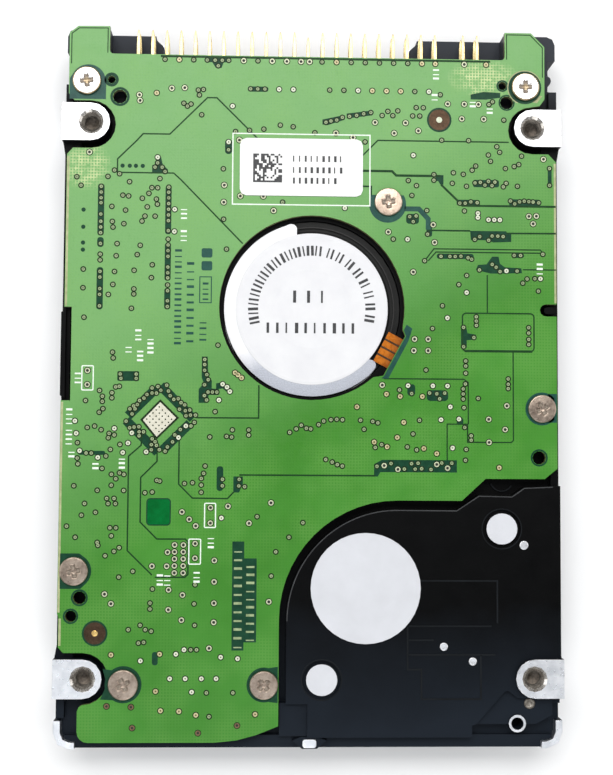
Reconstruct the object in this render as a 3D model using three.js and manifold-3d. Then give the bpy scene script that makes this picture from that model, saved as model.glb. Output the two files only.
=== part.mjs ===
// A 2.5-inch laptop hard disk drive with a 44-pin connector, lying on its top cover with the
// circuit board facing up.  Millimetres; X across the drive, +Y towards the connector, +Z up.
// Origin: centre of the outline, on the outer face of the top cover.
import * as THREE from "three";
import { mergeVertices } from "three/addons/utils/BufferGeometryUtils.js";
import Module from "manifold-3d";

const wasm = await Module();
wasm.setup();

// ---------------------------------------------------------------- driving dimensions
const WIDTH = 69.85;
const LENGTH = 100.2;
const HEIGHT = 9.5;
const HALF_WIDTH = WIDTH / 2;
const HALF_LENGTH = LENGTH / 2;

// Mounting holes, all M3: four in the bottom face, four in the sides.
const HOLE_X = 61.72 / 2;
const REAR_HOLE_Y = HALF_LENGTH - 14.0;
const FRONT_HOLE_Y = REAR_HOLE_Y - 76.6;
const SIDE_HOLE_Z = HEIGHT - 3.0;
const M3_CORE_RADIUS = 1.25;
const M3_CHAMFER_RADIUS = 1.75;
const BOSS_RADIUS = 2.65;
const BODY_SIDE_X = 34.65; // half width of the casting between its four bosses

// Heights, from the cover (z = 0) up to the boss faces (z = HEIGHT).
const RIM_LOW = 0.45; // cover rim
const SHEET = 0.6; // cover sheet thickness
const GASKET_LOW = 1.15;
const GASKET_HIGH = 1.45;
const CASTING_LOW = 1.55;
const FLOOR_IN = 6.2; // inner face of the casting's floor
const FLOOR_OUT = 6.9; // board side of the floor
const COIL_ROOM_IN = 7.6; // deeper pocket over the voice coil motor
const COIL_ROOM_OUT = 8.9;
const LEDGE_HIGH = 8.35; // lower ledges beside the coil room's roof
const POST_HIGH = 8.15;
const BOARD_LOW = 8.2;
const BOARD_HIGH = 9.0;
const SEAL_LOW = 8.95;
const SEAL_THICK = 0.12;

// Spindle and disk.
const SPINDLE = [0, 10.4];
const DISK_RADIUS = 32.5;
const DISK_BORE = 10.02;
const DISK_LOW = 3.63;
const DISK_HIGH = 4.27;
const DISK_ROOM = 33.1;
const MOTOR_BORE = 12.45;
const BOARD_MOTOR_HOLE = 12.9;

// Head arm: pivot place, arm length to the heads, direction when parked on the ramp.
const PIVOT = [7.6, -28.3];
const HEAD_REACH = 33.5;
const PARKED_ANGLE = 158.1;
const STROKE = 36;
const COIL_OUTER = 18.8;
const COIL_INNER = 9.0;
const COIL_HALF_ANGLE = 19;
const COIL_LOW = 3.45;
const COIL_HIGH = 4.45;
const MAGNET_ANGLE = PARKED_ANGLE - 180 - STROKE / 2;

// Connector: 2 mm pitch, two rows, and a jumper block one position apart.
const PITCH = 2;
const PIN = 0.5;
const FIRST_PIN_X = -24.65;
const DATA_COLUMNS = 22;
const KEY_COLUMN = 12; // the column whose upper pin is left out
const JUMPER_COLUMNS = [23, 24];
const UPPER_ROW_Z = 7.5;
const LOWER_ROW_Z = 5.5;
const PIN_TIP_Y = 49.9;
const NOTCH_LEFT = -28.5;
const NOTCH_RIGHT = 27.05;
const NOTCH_Y = 45.9;
const CONNECTOR_POCKET_Y = 44.15;
const SHELF_HIGH = 4.3; // top of the casting's shelf under the pins
const SHELF_GAP = [-21.4, 14.07];

const BOARD_SCREWS = [
  [-31.6, 41.95],
  [29.95, 42.05],
  [10.6, 25.4],
  [32.1, -3.4],
  [-32.3, -26.0],
  [-25.4, -41.3],
  [-6.3, -41.35],
];
const COVER_SCREWS = [
  [-31.0, 48.0],
  [31.0, 48.0],
  [-31.7, -20.5],
  [31.7, -20.5],
  [-31.2, -47.6],
  [31.2, -47.6],
];
const FLEX_WINDOW = [-18.1, -24.2, 4.4, 8.4]; // centre x, centre y, width, length
const TAPPED_CORNER = [28.6, -46.7];
const DOWEL = [30.35, -44.0];
const ACCESS_SEALS = [
  [26.45, -20.05],
  [1.6, -40.7],
];
const ACCESS_SEAL_RADIUS = 2.14;
const LATCH_PIN = [28.6, -26.9];

// ---------------------------------------------------------------- materials
const material = (color, roughness, metalness) =>
  new THREE.MeshStandardMaterial({ color, roughness, metalness });
const BLACK_COAT = material(0x17181b, 0.45, 0.2);
const BARE_ALUMINIUM = material(0xc9cacc, 0.4, 0.9);
const STEEL = material(0xb4b5b8, 0.3, 0.95);
const NICKEL = material(0xc0a79a, 0.35, 0.9);
const BOARD_GREEN = material(0x4f9a3c, 0.4, 0.0);
const GOLD = material(0xe8d9a0, 0.3, 0.8);
const BLACK_PLASTIC = material(0x1c1b1d, 0.5, 0.0);
const WHITE_PAPER = material(0xf2f2f2, 0.6, 0.0);
const MIRROR_DISK = material(0xd9dbdf, 0.08, 1.0);
const COPPER = material(0xb06a34, 0.4, 0.8);
const MAGNET_METAL = material(0x9a9da1, 0.35, 0.8);
const AMBER_FILM = material(0xc6741a, 0.4, 0.0);
const RAMP_PLASTIC = material(0xe9e4d4, 0.5, 0.0);
const RUBBER = material(0x202022, 0.8, 0.0);
const FILTER_CLOTH = material(0xeeeeea, 0.9, 0.0);
const CERAMIC = material(0x3a3a3e, 0.3, 0.2);

// ---------------------------------------------------------------- shape helpers
const rad = THREE.MathUtils.degToRad;
const polar = (r, degrees, [x, y] = [0, 0]) => [
  x + r * Math.cos(rad(degrees)),
  y + r * Math.sin(rad(degrees)),
];

// Points of an arc from one angle to another, in degrees.
function arc(centre, r, from, to, steps) {
  const points = [];
  for (let i = 0; i <= steps; i++) points.push(polar(r, from + ((to - from) * i) / steps, centre));
  return points;
}

const circle = (centre, r, sides) => arc(centre, r, 0, 360, sides).slice(0, sides);

// An outline whose corners are [x, y, radius]; a corner with no radius stays sharp.
function rounded(corners, steps = 2) {
  const points = [];
  corners.forEach(([x, y, r = 0], i) => {
    const corner = new THREE.Vector2(x, y);
    if (!r) {
      points.push([x, y]);
      return;
    }
    const before = corners[(i + corners.length - 1) % corners.length];
    const after = corners[(i + 1) % corners.length];
    const toBefore = new THREE.Vector2(before[0], before[1]).sub(corner).normalize();
    const toAfter = new THREE.Vector2(after[0], after[1]).sub(corner).normalize();
    const half = Math.acos(toBefore.dot(toAfter)) / 2;
    const start = corner.clone().addScaledVector(toBefore, r / Math.tan(half));
    const end = corner.clone().addScaledVector(toAfter, r / Math.tan(half));
    const bisector = toBefore.clone().add(toAfter).normalize();
    const centre = corner.clone().addScaledVector(bisector, r / Math.sin(half));
    const from = Math.atan2(start.y - centre.y, start.x - centre.x);
    let turn = Math.atan2(end.y - centre.y, end.x - centre.x) - from;
    if (turn > Math.PI) turn -= 2 * Math.PI;
    if (turn < -Math.PI) turn += 2 * Math.PI;
    for (let k = 0; k <= steps; k++) {
      const angle = from + (turn * k) / steps;
      points.push([centre.x + r * Math.cos(angle), centre.y + r * Math.sin(angle)]);
    }
  });
  return points;
}

const rectangle = (x0, y0, x1, y1, r = 0) =>
  rounded([
    [x0, y0, r],
    [x1, y0, r],
    [x1, y1, r],
    [x0, y1, r],
  ]);

const mirrored = (points) => points.map(([x, ...rest]) => [-x, ...rest]).reverse();

// A ring sector: inner and outer radius, middle angle, half angle.
const sector = (centre, inner, outer, middle, half, steps) => [
  ...arc(centre, outer, middle - half, middle + half, steps),
  ...arc(centre, inner, middle + half, middle - half, steps),
];

// A closed three.js geometry as a solid for joining and cutting.
function solid(geometry) {
  const bare = geometry.clone();
  bare.deleteAttribute("normal");
  bare.deleteAttribute("uv");
  const merged = mergeVertices(bare, 1e-4);
  const made = new wasm.Manifold(
    new wasm.Mesh({
      numProp: 3,
      vertProperties: new Float32Array(merged.attributes.position.array),
      triVerts: new Uint32Array(merged.index.array),
    }),
  );
  return made;
}

// A flat plate between two heights, with an outline and holes given as point lists.
function plate(outline, low, high, holes = []) {
  const shape = new THREE.Shape(outline.map(([x, y]) => new THREE.Vector2(x, y)));
  holes.forEach((hole) =>
    shape.holes.push(new THREE.Path(hole.map(([x, y]) => new THREE.Vector2(x, y)))),
  );
  const geometry = new THREE.ExtrudeGeometry(shape, { depth: high - low, bevelEnabled: false });
  geometry.translate(0, 0, low);
  return solid(geometry);
}

const disc = (centre, r, low, high, sides = 16) => plate(circle(centre, r, sides), low, high);
const ring = (centre, inner, outer, low, high, sides = 28) =>
  plate(circle(centre, outer, sides), low, high, [circle(centre, inner, sides)]);
const block = (x0, x1, y0, y1, low, high) => plate(rectangle(x0, y0, x1, y1), low, high);

// A turned piece about Z: its profile is [radius, height] points, listed with height rising
// on the outside, and it either starts and ends on the axis or closes on itself.
function turned(profile, sides = 32) {
  const onAxis = profile[0][0] === 0;
  const points = (onAxis ? profile : [...profile, profile[0]]).map(
    ([r, z]) => new THREE.Vector2(r, z),
  );
  const geometry = new THREE.LatheGeometry(points, sides);
  geometry.rotateX(Math.PI / 2);
  return solid(geometry);
}

const join = (...solids) => solids.reduce((a, b) => a.add(b));
const cut = (base, ...tools) => tools.reduce((a, b) => a.subtract(b), base);

function geometryOf(made) {
  const { numProp, vertProperties, triVerts } = made.getMesh();
  const count = vertProperties.length / numProp;
  const positions = new Float32Array(count * 3);
  for (let i = 0; i < count; i++)
    positions.set(vertProperties.subarray(i * numProp, i * numProp + 3), i * 3);
  const geometry = new THREE.BufferGeometry();
  geometry.setAttribute("position", new THREE.BufferAttribute(positions, 3));
  geometry.setIndex(new THREE.BufferAttribute(new Uint32Array(triVerts), 1));
  geometry.computeVertexNormals();
  return geometry;
}

const drive = new THREE.Group();

function piece(parent, name, made, look) {
  const mesh = new THREE.Mesh(geometryOf(made), look);
  mesh.name = name;
  parent.add(mesh);
  return mesh;
}

// ---------------------------------------------------------------- outlines
// Right half of the casting's outline, rear to front, with the gripping notch near the rear.
const rightSide = (inset) => [
  [BODY_SIDE_X + 0.05 - inset, HALF_LENGTH - inset, 1.2],
  [BODY_SIDE_X + 0.05 - inset, 46.6],
  [33.6 - inset, 46.45],
  ...arc([33.4 - inset, 43.7], 0.75, 70, -70, 4),
  [33.6 - inset, 42.1],
  [BODY_SIDE_X - inset, 41.9],
  [BODY_SIDE_X - inset, -HALF_LENGTH + 0.05 + inset, 2.6],
];
const bodyOutline = (inset = 0) => rounded([...mirrored(rightSide(inset)), ...rightSide(inset)]);

// Room inside the casting in front of the disk, where the head arm works.
function armRoom(grow = 0) {
  const side = [
    [31.8 + grow, 0],
    [31.8 + grow, -16.8],
    [29.2 + grow, -18.2],
    [29.2 + grow, -22.8],
    [31.8 + grow, -24.2],
    [31.8 + grow, -35.4],
    [27.4 + grow, -36.8],
    [27.4 + grow, -45.0],
    [25.4 + grow, -48.6 - grow],
  ];
  return [...mirrored(side), ...side];
}

// ---------------------------------------------------------------- base casting
function bossOutline(side, y) {
  const centre = [side * (HOLE_X + 0.05), y];
  const round = arc(centre, BOSS_RADIUS, 90, 270, 8).map(([px, py]) => [
    side > 0 ? px : 2 * centre[0] - px,
    py,
  ]);
  const edge = [
    [side * HALF_WIDTH, y - BOSS_RADIUS],
    [side * HALF_WIDTH, y + BOSS_RADIUS],
  ];
  return [...round, ...edge];
}

// The side wall swells out to full width beside each boss.
function swell(side, y, towards) {
  return [
    [side * 32.4, y + towards * BOSS_RADIUS],
    [side * HALF_WIDTH, y + towards * BOSS_RADIUS],
    [side * HALF_WIDTH, y - towards * BOSS_RADIUS],
    [side * (BODY_SIDE_X - 0.05), y - towards * 4.5],
    [side * 32.4, y - towards * 4.5],
  ];
}

function baseCasting() {
  let body = plate(bodyOutline(), CASTING_LOW, FLOOR_OUT);
  const bosses = [];
  const holes = [];
  for (const side of [-1, 1])
    for (const [y, towards] of [
      [REAR_HOLE_Y, 1],
      [FRONT_HOLE_Y, -1],
    ]) {
      bosses.push(plate(swell(side, y, towards), CASTING_LOW, 8.0));
      bosses.push(plate(bossOutline(side, y), FLOOR_OUT - 0.5, HEIGHT));
      const chamfer = turned(
        [
          [0, HEIGHT - 0.4],
          [M3_CORE_RADIUS, HEIGHT - 0.4],
          [M3_CHAMFER_RADIUS, HEIGHT + 0.001],
          [0, HEIGHT + 0.001],
        ],
        12,
      ).translate([side * HOLE_X, y, 0]);
      holes.push(disc([side * HOLE_X, y], M3_CORE_RADIUS, HEIGHT - 3.0, HEIGHT + 0.5, 12));
      holes.push(chamfer);
      const sideHole = solid(
        new THREE.CylinderGeometry(M3_CORE_RADIUS, M3_CORE_RADIUS, 3, 12)
          .rotateZ(Math.PI / 2)
          .translate(side * (HALF_WIDTH - 0.6), y, SIDE_HOLE_Z),
      );
      holes.push(sideHole);
    }

  // Raised roof over the voice coil motor; its corner by the board follows the board's edge.
  const roofBlock = plate(
    rounded([
      [-0.35, -48.5],
      [-0.35, -44.0],
      [-3.3, -44.0],
      ...arc([12, -32.75], 15.3, 180, 90, 12),
      [20.4, -17.45, 1.5],
      [23.4, -15.4, 1],
      [27.9, -15.5, 1],
      [29.6, -14.3, 1],
      [BODY_SIDE_X, -14.1],
      [BODY_SIDE_X, -43.2],
      [28.6, -43.2],
      [27.1, -42.0, 0.5],
      [22.9, -46.7],
      [22.3, -46.9],
      [22.3, -48.5],
    ]),
    FLOOR_OUT - 0.5,
    COIL_ROOM_OUT,
  );
  const sealGroove = (at) =>
    ring(at, ACCESS_SEAL_RADIUS + 0.1, ACCESS_SEAL_RADIUS + 0.5, COIL_ROOM_OUT - 0.35, HEIGHT, 20);
  const roof = cut(roofBlock, ...ACCESS_SEALS.map(sealGroove));
  // Lower ledge of the roof beside the front right boss.
  const roofLedge = plate(
    [
      [22.6, -46.8],
      [27.0, -42.0],
      [33.5, -42.0],
      [33.5, -45.6],
      [31.2, -46.8],
    ],
    FLOOR_OUT - 0.5,
    LEDGE_HIGH,
  );
  const rails = [-1, 1].flatMap((side) => [
    plate(
      side > 0
        ? rectangle(33.5, -44, BODY_SIDE_X - 0.05, 41.7)
        : rectangle(-BODY_SIDE_X + 0.05, -46, -33.5, 41.7),
      FLOOR_OUT - 0.5,
      POST_HIGH - 0.1,
    ),
    // Bare corner bumper at the front.
    plate(
      rounded([
        [side * 33.95, -46.3],
        [side * (HALF_WIDTH - 0.05), -46.3],
        [side * (HALF_WIDTH - 0.05), -HALF_LENGTH, 2.2],
        [side * 32.0, -HALF_LENGTH],
        [side * 32.0, -49.2],
        [side * 33.95, -49.2, 1.3],
      ]),
      FLOOR_OUT - 0.5,
      8.4,
    ),
  ]);
  const frontWall = plate(rectangle(-33.5, -HALF_LENGTH + 0.05, 33.5, -48.35), FLOOR_OUT - 0.5, 7.6);
  const frontBump = plate(
    [
      [-2.4, -49.0],
      [-1.0, -HALF_LENGTH],
      [1.0, -HALF_LENGTH],
      [2.4, -49.0],
      [1.2, -48.5],
      [-1.2, -48.5],
    ],
    FLOOR_OUT - 0.5,
    8.4,
  );
  const roofStep = plate(rectangle(-4.2, -48.4, -0.3, -43.9), FLOOR_OUT - 0.5, LEDGE_HIGH);
  const sideBar = plate(
    [
      [-BODY_SIDE_X, -2.0],
      [-34.0, -2.4],
      [-34.0, 10.0],
      [-BODY_SIDE_X, 9.5],
    ],
    FLOOR_OUT - 0.5,
    8.9,
  );
  const slotPost = plate(rectangle(32.6, 9.9, 34.2, 10.9, 0.4), FLOOR_OUT - 0.5, 8.6);
  const motorCollar = disc(SPINDLE, MOTOR_BORE + 1.4, FLOOR_OUT - 0.4, 7.9, 48);
  const tappedPost = disc(TAPPED_CORNER, 1.2, FLOOR_OUT - 0.3, LEDGE_HIGH + 0.25, 16);
  const posts = BOARD_SCREWS.map((at) => disc(at, 2.2, FLOOR_OUT - 0.3, POST_HIGH, 12));
  body = join(body, roof, roofLedge, ...rails, frontWall, frontBump, roofStep, sideBar, slotPost);
  body = join(body, motorCollar, tappedPost, ...posts, ...bosses);

  const diskRoom = disc(SPINDLE, DISK_ROOM, 0, FLOOR_IN, 64);
  const headRoom = plate(armRoom(), 0, FLOOR_IN);
  const coilRoom = join(
    disc(PIVOT, 7.4, FLOOR_IN - 0.5, COIL_ROOM_IN, 24),
    plate(
      [
        [7.6, -22.0],
        [5.0, -33.0],
        [6.0, -48.0],
        [21.7, -48.0],
        [21.7, -45.7],
        [25.1, -45.7],
        [26.8, -44.0],
        [26.8, -36.6],
        [28.9, -35.7],
        [28.9, -30.5],
        [24.0, -25.5],
      ],
      FLOOR_IN - 0.5,
      COIL_ROOM_IN,
    ),
  );
  const [wx, wy, ww, wl] = FLEX_WINDOW;
  const window = block(wx - ww / 2, wx + ww / 2, wy - wl / 2, wy + wl / 2, 5, 9);
  const motorHole = disc(SPINDLE, MOTOR_BORE, 5, 9, 48);
  const connectorPocket = block(NOTCH_LEFT - 0.2, NOTCH_RIGHT + 0.2, CONNECTOR_POCKET_Y, 60, SHELF_HIGH, 10);
  const shelfGap = plate(
    [
      [SHELF_GAP[0], 45.4],
      [SHELF_GAP[1], 45.4],
      [SHELF_GAP[1], 48.6],
      [SHELF_GAP[1] + 1.1, 49.6],
      [SHELF_GAP[1] + 1.1, 60],
      [SHELF_GAP[0] - 1.1, 60],
      [SHELF_GAP[0] - 1.1, 49.6],
      [SHELF_GAP[0], 48.6],
    ],
    0,
    10,
  );
  const screwHoles = BOARD_SCREWS.map((at) => disc(at, 0.95, 6.95, 9, 8));
  const coverHoles = COVER_SCREWS.map((at) => disc(at, 0.9, 0, 4.8, 8));
  const tappedHole = disc(TAPPED_CORNER, 0.85, 5.5, 9, 16);
  const dowelHole = disc(DOWEL, 0.8, 6.0, 9.6, 10);
  const hollowed = cut(
    body,
    diskRoom,
    headRoom,
    coilRoom,
    window,
    motorHole,
    connectorPocket,
    shelfGap,
    tappedHole,
    dowelHole,
    ...holes,
    ...screwHoles,
    ...coverHoles,
  );
  return join(hollowed, disc(LATCH_PIN, 0.6, 2.2, FLOOR_IN + 0.2, 12));
}
piece(drive, "base_casting", baseCasting(), BLACK_COAT);

// ---------------------------------------------------------------- top cover
const LABEL_BOX = [-25, -22, 25, 33];

function plateauOutline(inset) {
  const side = [
    [27.8 - inset / 2, 44.2 - inset],
    [31.2 - inset, 40.8 - inset / 2],
    [31.2 - inset, -17.4],
    [29.2 - inset, -18.6],
    [29.2 - inset, -22.4],
    [31.2 - inset, -23.6],
    [31.2 - inset, -43.0 + inset / 2],
    [27.8 - inset / 2, -46.4 + inset],
  ];
  return [...mirrored(side), ...side];
}

function topCover() {
  const rim = plate(bodyOutline(0.25), RIM_LOW, RIM_LOW + SHEET);
  const plateau = plate(plateauOutline(0), 0, RIM_LOW + 0.1);
  const hollow = plate(plateauOutline(SHEET), SHEET, 2);
  const pivotDimple = disc(PIVOT, 3.1, SHEET - 0.3, SHEET + 0.5, 16);
  const rearGap = block(SHELF_GAP[0] - 0.2, SHELF_GAP[1] + 0.2, 45.2, 60, -1, 5);
  return cut(
    join(cut(join(rim, plateau), hollow), pivotDimple),
    disc(PIVOT, 2.4, -1, 0.55, 16),
    disc(PIVOT, 0.95, -1, 2, 10),
    disc([-20, -34], 0.5, -1, 2, 8),
    plate(rectangle(...LABEL_BOX, 2), -1, 0.12),
    rearGap,
    ...COVER_SCREWS.map((at) => disc(at, 0.95, -1, 2, 8)),
  );
}
piece(drive, "top_cover", topCover(), BARE_ALUMINIUM);

const insetLabel = [LABEL_BOX[0] + 0.2, LABEL_BOX[1] + 0.2, LABEL_BOX[2] - 0.2, LABEL_BOX[3] - 0.2];
piece(drive, "cover_label", plate(rectangle(...insetLabel, 1.8), 0.02, 0.1), WHITE_PAPER);

function gasket() {
  const outer = join(
    disc(SPINDLE, DISK_ROOM + 0.8, GASKET_LOW, GASKET_HIGH, 56),
    plate(armRoom(0.8), GASKET_LOW, GASKET_HIGH),
  );
  const inner = join(
    disc(SPINDLE, DISK_ROOM + 0.2, 0, 3, 56),
    plate(armRoom(0.15), 0, 3),
  );
  return cut(outer, inner);
}
piece(drive, "cover_gasket", gasket(), RUBBER);

// ---------------------------------------------------------------- screws
// A pan head on top of a shank, with a cross recess; the head's seat is at z = 0.
function screw(headRadius, headHigh, shankRadius, shankLong) {
  const body = turned(
    [
      [0, -shankLong],
      [shankRadius, -shankLong],
      [shankRadius, 0],
      [headRadius, 0],
      [headRadius * 0.95, headHigh],
      [0, headHigh],
    ],
    10,
  );
  const slot = (across, along) =>
    block(-across / 2, across / 2, -along / 2, along / 2, headHigh * 0.4, headHigh + 1);
  return cut(body, slot(0.36, 1.5), slot(1.5, 0.36));
}

BOARD_SCREWS.forEach(([x, y], i) => {
  const look = i < 2 ? STEEL : NICKEL;
  piece(drive, `board_screw_${i + 1}`, screw(1.95, 0.4, 0.8, 1.95), look).position.set(
    x,
    y,
    BOARD_HIGH + 0.05,
  );
});

COVER_SCREWS.forEach(([x, y], i) => {
  const made = piece(drive, `cover_screw_${i + 1}`, screw(1.6, 0.34, 0.7, 3.8), STEEL);
  made.position.set(x, y, RIM_LOW - 0.03);
  made.rotation.x = Math.PI;
});

const pivotScrew = piece(drive, "pivot_screw", screw(2.1, 0.4, 0.75, 3.6), STEEL);
pivotScrew.position.set(...PIVOT, 0.5);
pivotScrew.rotation.x = Math.PI;

// ---------------------------------------------------------------- circuit board
const REAR_CUT = [HOLE_X, 35.85, 3.35];
const FRONT_CUT = [HOLE_X + 0.1, -40.55, 3.5];

function boardOutline() {
  const rearCut = (side) => [side * REAR_CUT[0], REAR_CUT[1]];
  const frontCut = [-FRONT_CUT[0], FRONT_CUT[1]];
  return [
    [-34.1, 48.8],
    [-32.9, 49.75],
    [NOTCH_LEFT, 49.8],
    ...arc([NOTCH_LEFT + 0.5, NOTCH_Y + 0.5], 0.5, 180, 270, 3),
    ...arc([NOTCH_RIGHT - 0.5, NOTCH_Y + 0.5], 0.5, 270, 360, 3),
    [NOTCH_RIGHT, 49.85],
    [30.8, 49.85],
    [32.7, 47.9],
    [32.7, 40.4],
    [32.0, 39.4],
    ...arc(rearCut(1), REAR_CUT[2], 90, 270, 10),
    [33.2, 32.5],
    [34.25, 31.4],
    [34.25, 11.25],
    ...arc([32.75, 10.4], 0.85, 90, 270, 6),
    [34.25, 9.55],
    [34.25, -11.7],
    [32.45, -13.15],
    [24.2, -13.15],
    [20.9, -16.2],
    ...arc([12, -32.5], 16.3, 90, 180, 14),
    [-4.3, -46.9],
    [-7.2, -48.05],
    [-10.0, -48.8],
    [-13.0, -49.1],
    ...arc([-30.1, -47.6], 1.5, 270, 180, 4),
    [-31.6, -44.9],
    [-31.35, -44.3],
    ...arc(frontCut, FRONT_CUT[2], -90, 90, 10),
    [-33.6, -37.05],
    [-34.3, -36.3],
    [-34.3, -32.2],
    [-34.5, -31.8],
    [-34.5, -2.7],
    [-33.2, -2.7],
    [-33.2, 10.25],
    [-34.2, 10.25],
    [-34.2, 31.6],
    [-33.4, 32.5],
    ...arc(rearCut(-1), REAR_CUT[2], -90, 90, 10),
    [-33.3, 39.2],
    [-34.1, 40.2],
  ].reverse();
}

// The round window over the motor widens at one side, where the motor's flat lead passes.
function motorWindow() {
  const leadCorners = [
    [12.65, 7.5],
    [13.0, 6.6],
    [9.95, 1.05],
  ];
  return [...leadCorners, ...arc([0, 10.5], BOARD_MOTOR_HOLE, -48.5, -371, 54)];
}

const BOARD_HOLES = [
  [-28.2, 42.2, 0.55],
  [-27.0, 39.8, 1.0],
  [26.7, 42.2, 0.6],
  [27.3, 39.8, 0.95],
  [-31.5, -29.6, 0.9],
  [-32.65, -32.1, 0.8],
  [31.7, -10.2, 0.95],
];

function circuitBoard() {
  return plate(boardOutline(), BOARD_LOW, BOARD_HIGH, [
    motorWindow(),
    ...BOARD_SCREWS.map((at) => circle(at, 1.15, 10)),
    ...BOARD_HOLES.map(([x, y, r]) => circle([x, y], r, 10)),
  ]);
}
piece(drive, "circuit_board", circuitBoard(), BOARD_GREEN);

// Chips on the board's inner face.
const CHIPS = [
  ["controller_chip", -20.9, -5.2, 8.6, 8.6, 45],
  ["buffer_memory_chip", -24.8, 18.6, 8.4, 17.4, 0],
];
CHIPS.forEach(([name, x, y, w, l, turn]) => {
  const chip = block(-w / 2, w / 2, -l / 2, l / 2, 0, 0.95);
  const made = piece(drive, name, chip, BLACK_PLASTIC);
  made.position.set(x, y, BOARD_LOW - 1.0);
  made.rotation.z = rad(turn);
});

// ---------------------------------------------------------------- connector
const pinX = (column) => FIRST_PIN_X + column * PITCH;
const dataColumns = Array.from({ length: DATA_COLUMNS }, (_, i) => i);
const upperColumns = [...dataColumns.filter((c) => c !== KEY_COLUMN), ...JUMPER_COLUMNS];
const lowerColumns = [...dataColumns, ...JUMPER_COLUMNS];
const HOUSING_BACK = 44.8;
const HOUSING_FRONT = 46.05;

function connectorHousing() {
  const bar = block(NOTCH_LEFT + 0.1, NOTCH_RIGHT - 0.1, HOUSING_BACK, HOUSING_FRONT, 4.45, 8.1);
  const hole = (column, z) => {
    const x = pinX(column);
    const half = PIN / 2 + 0.1;
    return block(x - half, x + half, 40, 60, z - half, z + half);
  };
  return cut(
    bar,
    ...upperColumns.map((c) => hole(c, UPPER_ROW_Z)),
    ...lowerColumns.map((c) => hole(c, LOWER_ROW_Z)),
  );
}
piece(drive, "connector_housing", connectorHousing(), BLACK_PLASTIC);

// A square pin with a tapered tip, pointing to +Y.
function pin(x, z) {
  const half = PIN / 2;
  const outline = [
    [x - half, 44.4],
    [x + half, 44.4],
    [x + half, PIN_TIP_Y - 1.0],
    [x + half * 0.4, PIN_TIP_Y],
    [x - half * 0.4, PIN_TIP_Y],
    [x - half, PIN_TIP_Y - 1.0],
  ];
  return plate(outline, z - half, z + half);
}

// One row of pins, held together by the leads behind the housing.
function pinRow(columns, z, tailHigh) {
  const x0 = pinX(0) - PIN;
  const x1 = pinX(JUMPER_COLUMNS[1]) + PIN;
  const tie = block(x0, x1, 44.25, 44.6, z - PIN * 0.3, tailHigh);
  return join(tie, ...columns.map((c) => pin(pinX(c), z)));
}
piece(drive, "connector_pins_upper", pinRow(upperColumns, UPPER_ROW_Z, 8.1), GOLD);
piece(drive, "connector_pins_lower", pinRow(lowerColumns, LOWER_ROW_Z, LOWER_ROW_Z + PIN * 0.3), GOLD);

// ---------------------------------------------------------------- spindle motor
const spindle = new THREE.Group();
spindle.position.set(...SPINDLE, 0);
drive.add(spindle);

piece(
  spindle,
  "motor_flange",
  turned(
    [
      [0, 7.1],
      [2.75, 7.1],
      [2.75, 4.4],
      [3.4, 4.4],
      [3.4, 6.9],
      [9.7, 6.9],
      [9.7, 6.6],
      [12.35, 6.6],
      [12.35, 7.5],
      [11.0, 7.5],
      [10.75, 7.8],
      [0, 7.8],
    ],
    40,
  ),
  BLACK_COAT,
);

const TEETH = 9;
const toothAngles = Array.from({ length: TEETH }, (_, i) => (360 * i) / TEETH);
const spun = (made, degrees) => made.rotate([0, 0, degrees]);

function statorCore() {
  const hub = ring([0, 0], 3.6, 4.8, 5.3, 6.3, 18);
  const tooth = join(
    block(4.5, 7.6, -0.5, 0.5, 5.3, 6.3),
    plate(sector([0, 0], 7.3, 8.0, 0, 14, 2), 5.3, 6.3),
  );
  return join(hub, ...toothAngles.map((angle) => spun(tooth, angle)));
}
piece(spindle, "stator_core", statorCore(), STEEL);

function statorCoils() {
  const sleeve = cut(block(5.0, 7.15, -1.0, 1.0, 4.9, 6.7), block(4, 8, -0.57, 0.57, 5.23, 6.37));
  const lead = ring([0, 0], 5.05, 5.35, 6.45, 6.65, 18);
  return join(lead, ...toothAngles.map((angle) => spun(sleeve, angle)));
}
piece(spindle, "stator_coils", statorCoils(), COPPER);

const BEARING_RADIUS = 1.3;
piece(spindle, "bearing_sleeve", ring([0, 0], BEARING_RADIUS, 2.65, 4.35, 7.0, 32), COPPER);

piece(
  spindle,
  "rotor_hub",
  turned(
    [
      [1.35, 3.05],
      [DISK_BORE - 0.07, 3.05],
      [DISK_BORE - 0.07, DISK_HIGH + 0.06],
      [12.0, DISK_HIGH + 0.06],
      [12.0, 4.95],
      [9.6, 4.95],
      [9.6, 6.35],
      [8.95, 6.35],
      [8.95, 4.15],
      [1.35, 4.15],
    ],
    32,
  ),
  BARE_ALUMINIUM,
);
piece(spindle, "rotor_magnet", ring([0, 0], 8.3, 8.8, 4.95, 6.3, 32), MAGNET_METAL);

piece(
  spindle,
  "spindle_shaft",
  cut(disc([0, 0], BEARING_RADIUS - 0.05, 3.05, 7.0, 32), disc([0, 0], 0.8, 2, 4.3, 16)),
  STEEL,
);
piece(
  spindle,
  "platter",
  ring([0, 0], DISK_BORE, DISK_RADIUS, DISK_LOW, DISK_HIGH, 64),
  MIRROR_DISK,
);
piece(
  spindle,
  "disk_clamp",
  turned(
    [
      [1.0, 2.45],
      [9.5, 2.45],
      [11.7, 2.7],
      [12.3, 3.1],
      [12.3, DISK_LOW - 0.05],
      [11.3, DISK_LOW - 0.05],
      [10.6, 3.1],
      [9.2, 2.95],
      [1.0, 2.95],
    ],
    32,
  ),
  STEEL,
);
const clampScrew = piece(spindle, "clamp_screw", screw(2.4, 0.6, 0.7, 1.5), STEEL);
clampScrew.position.z = 2.4;
clampScrew.rotation.x = Math.PI;

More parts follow.
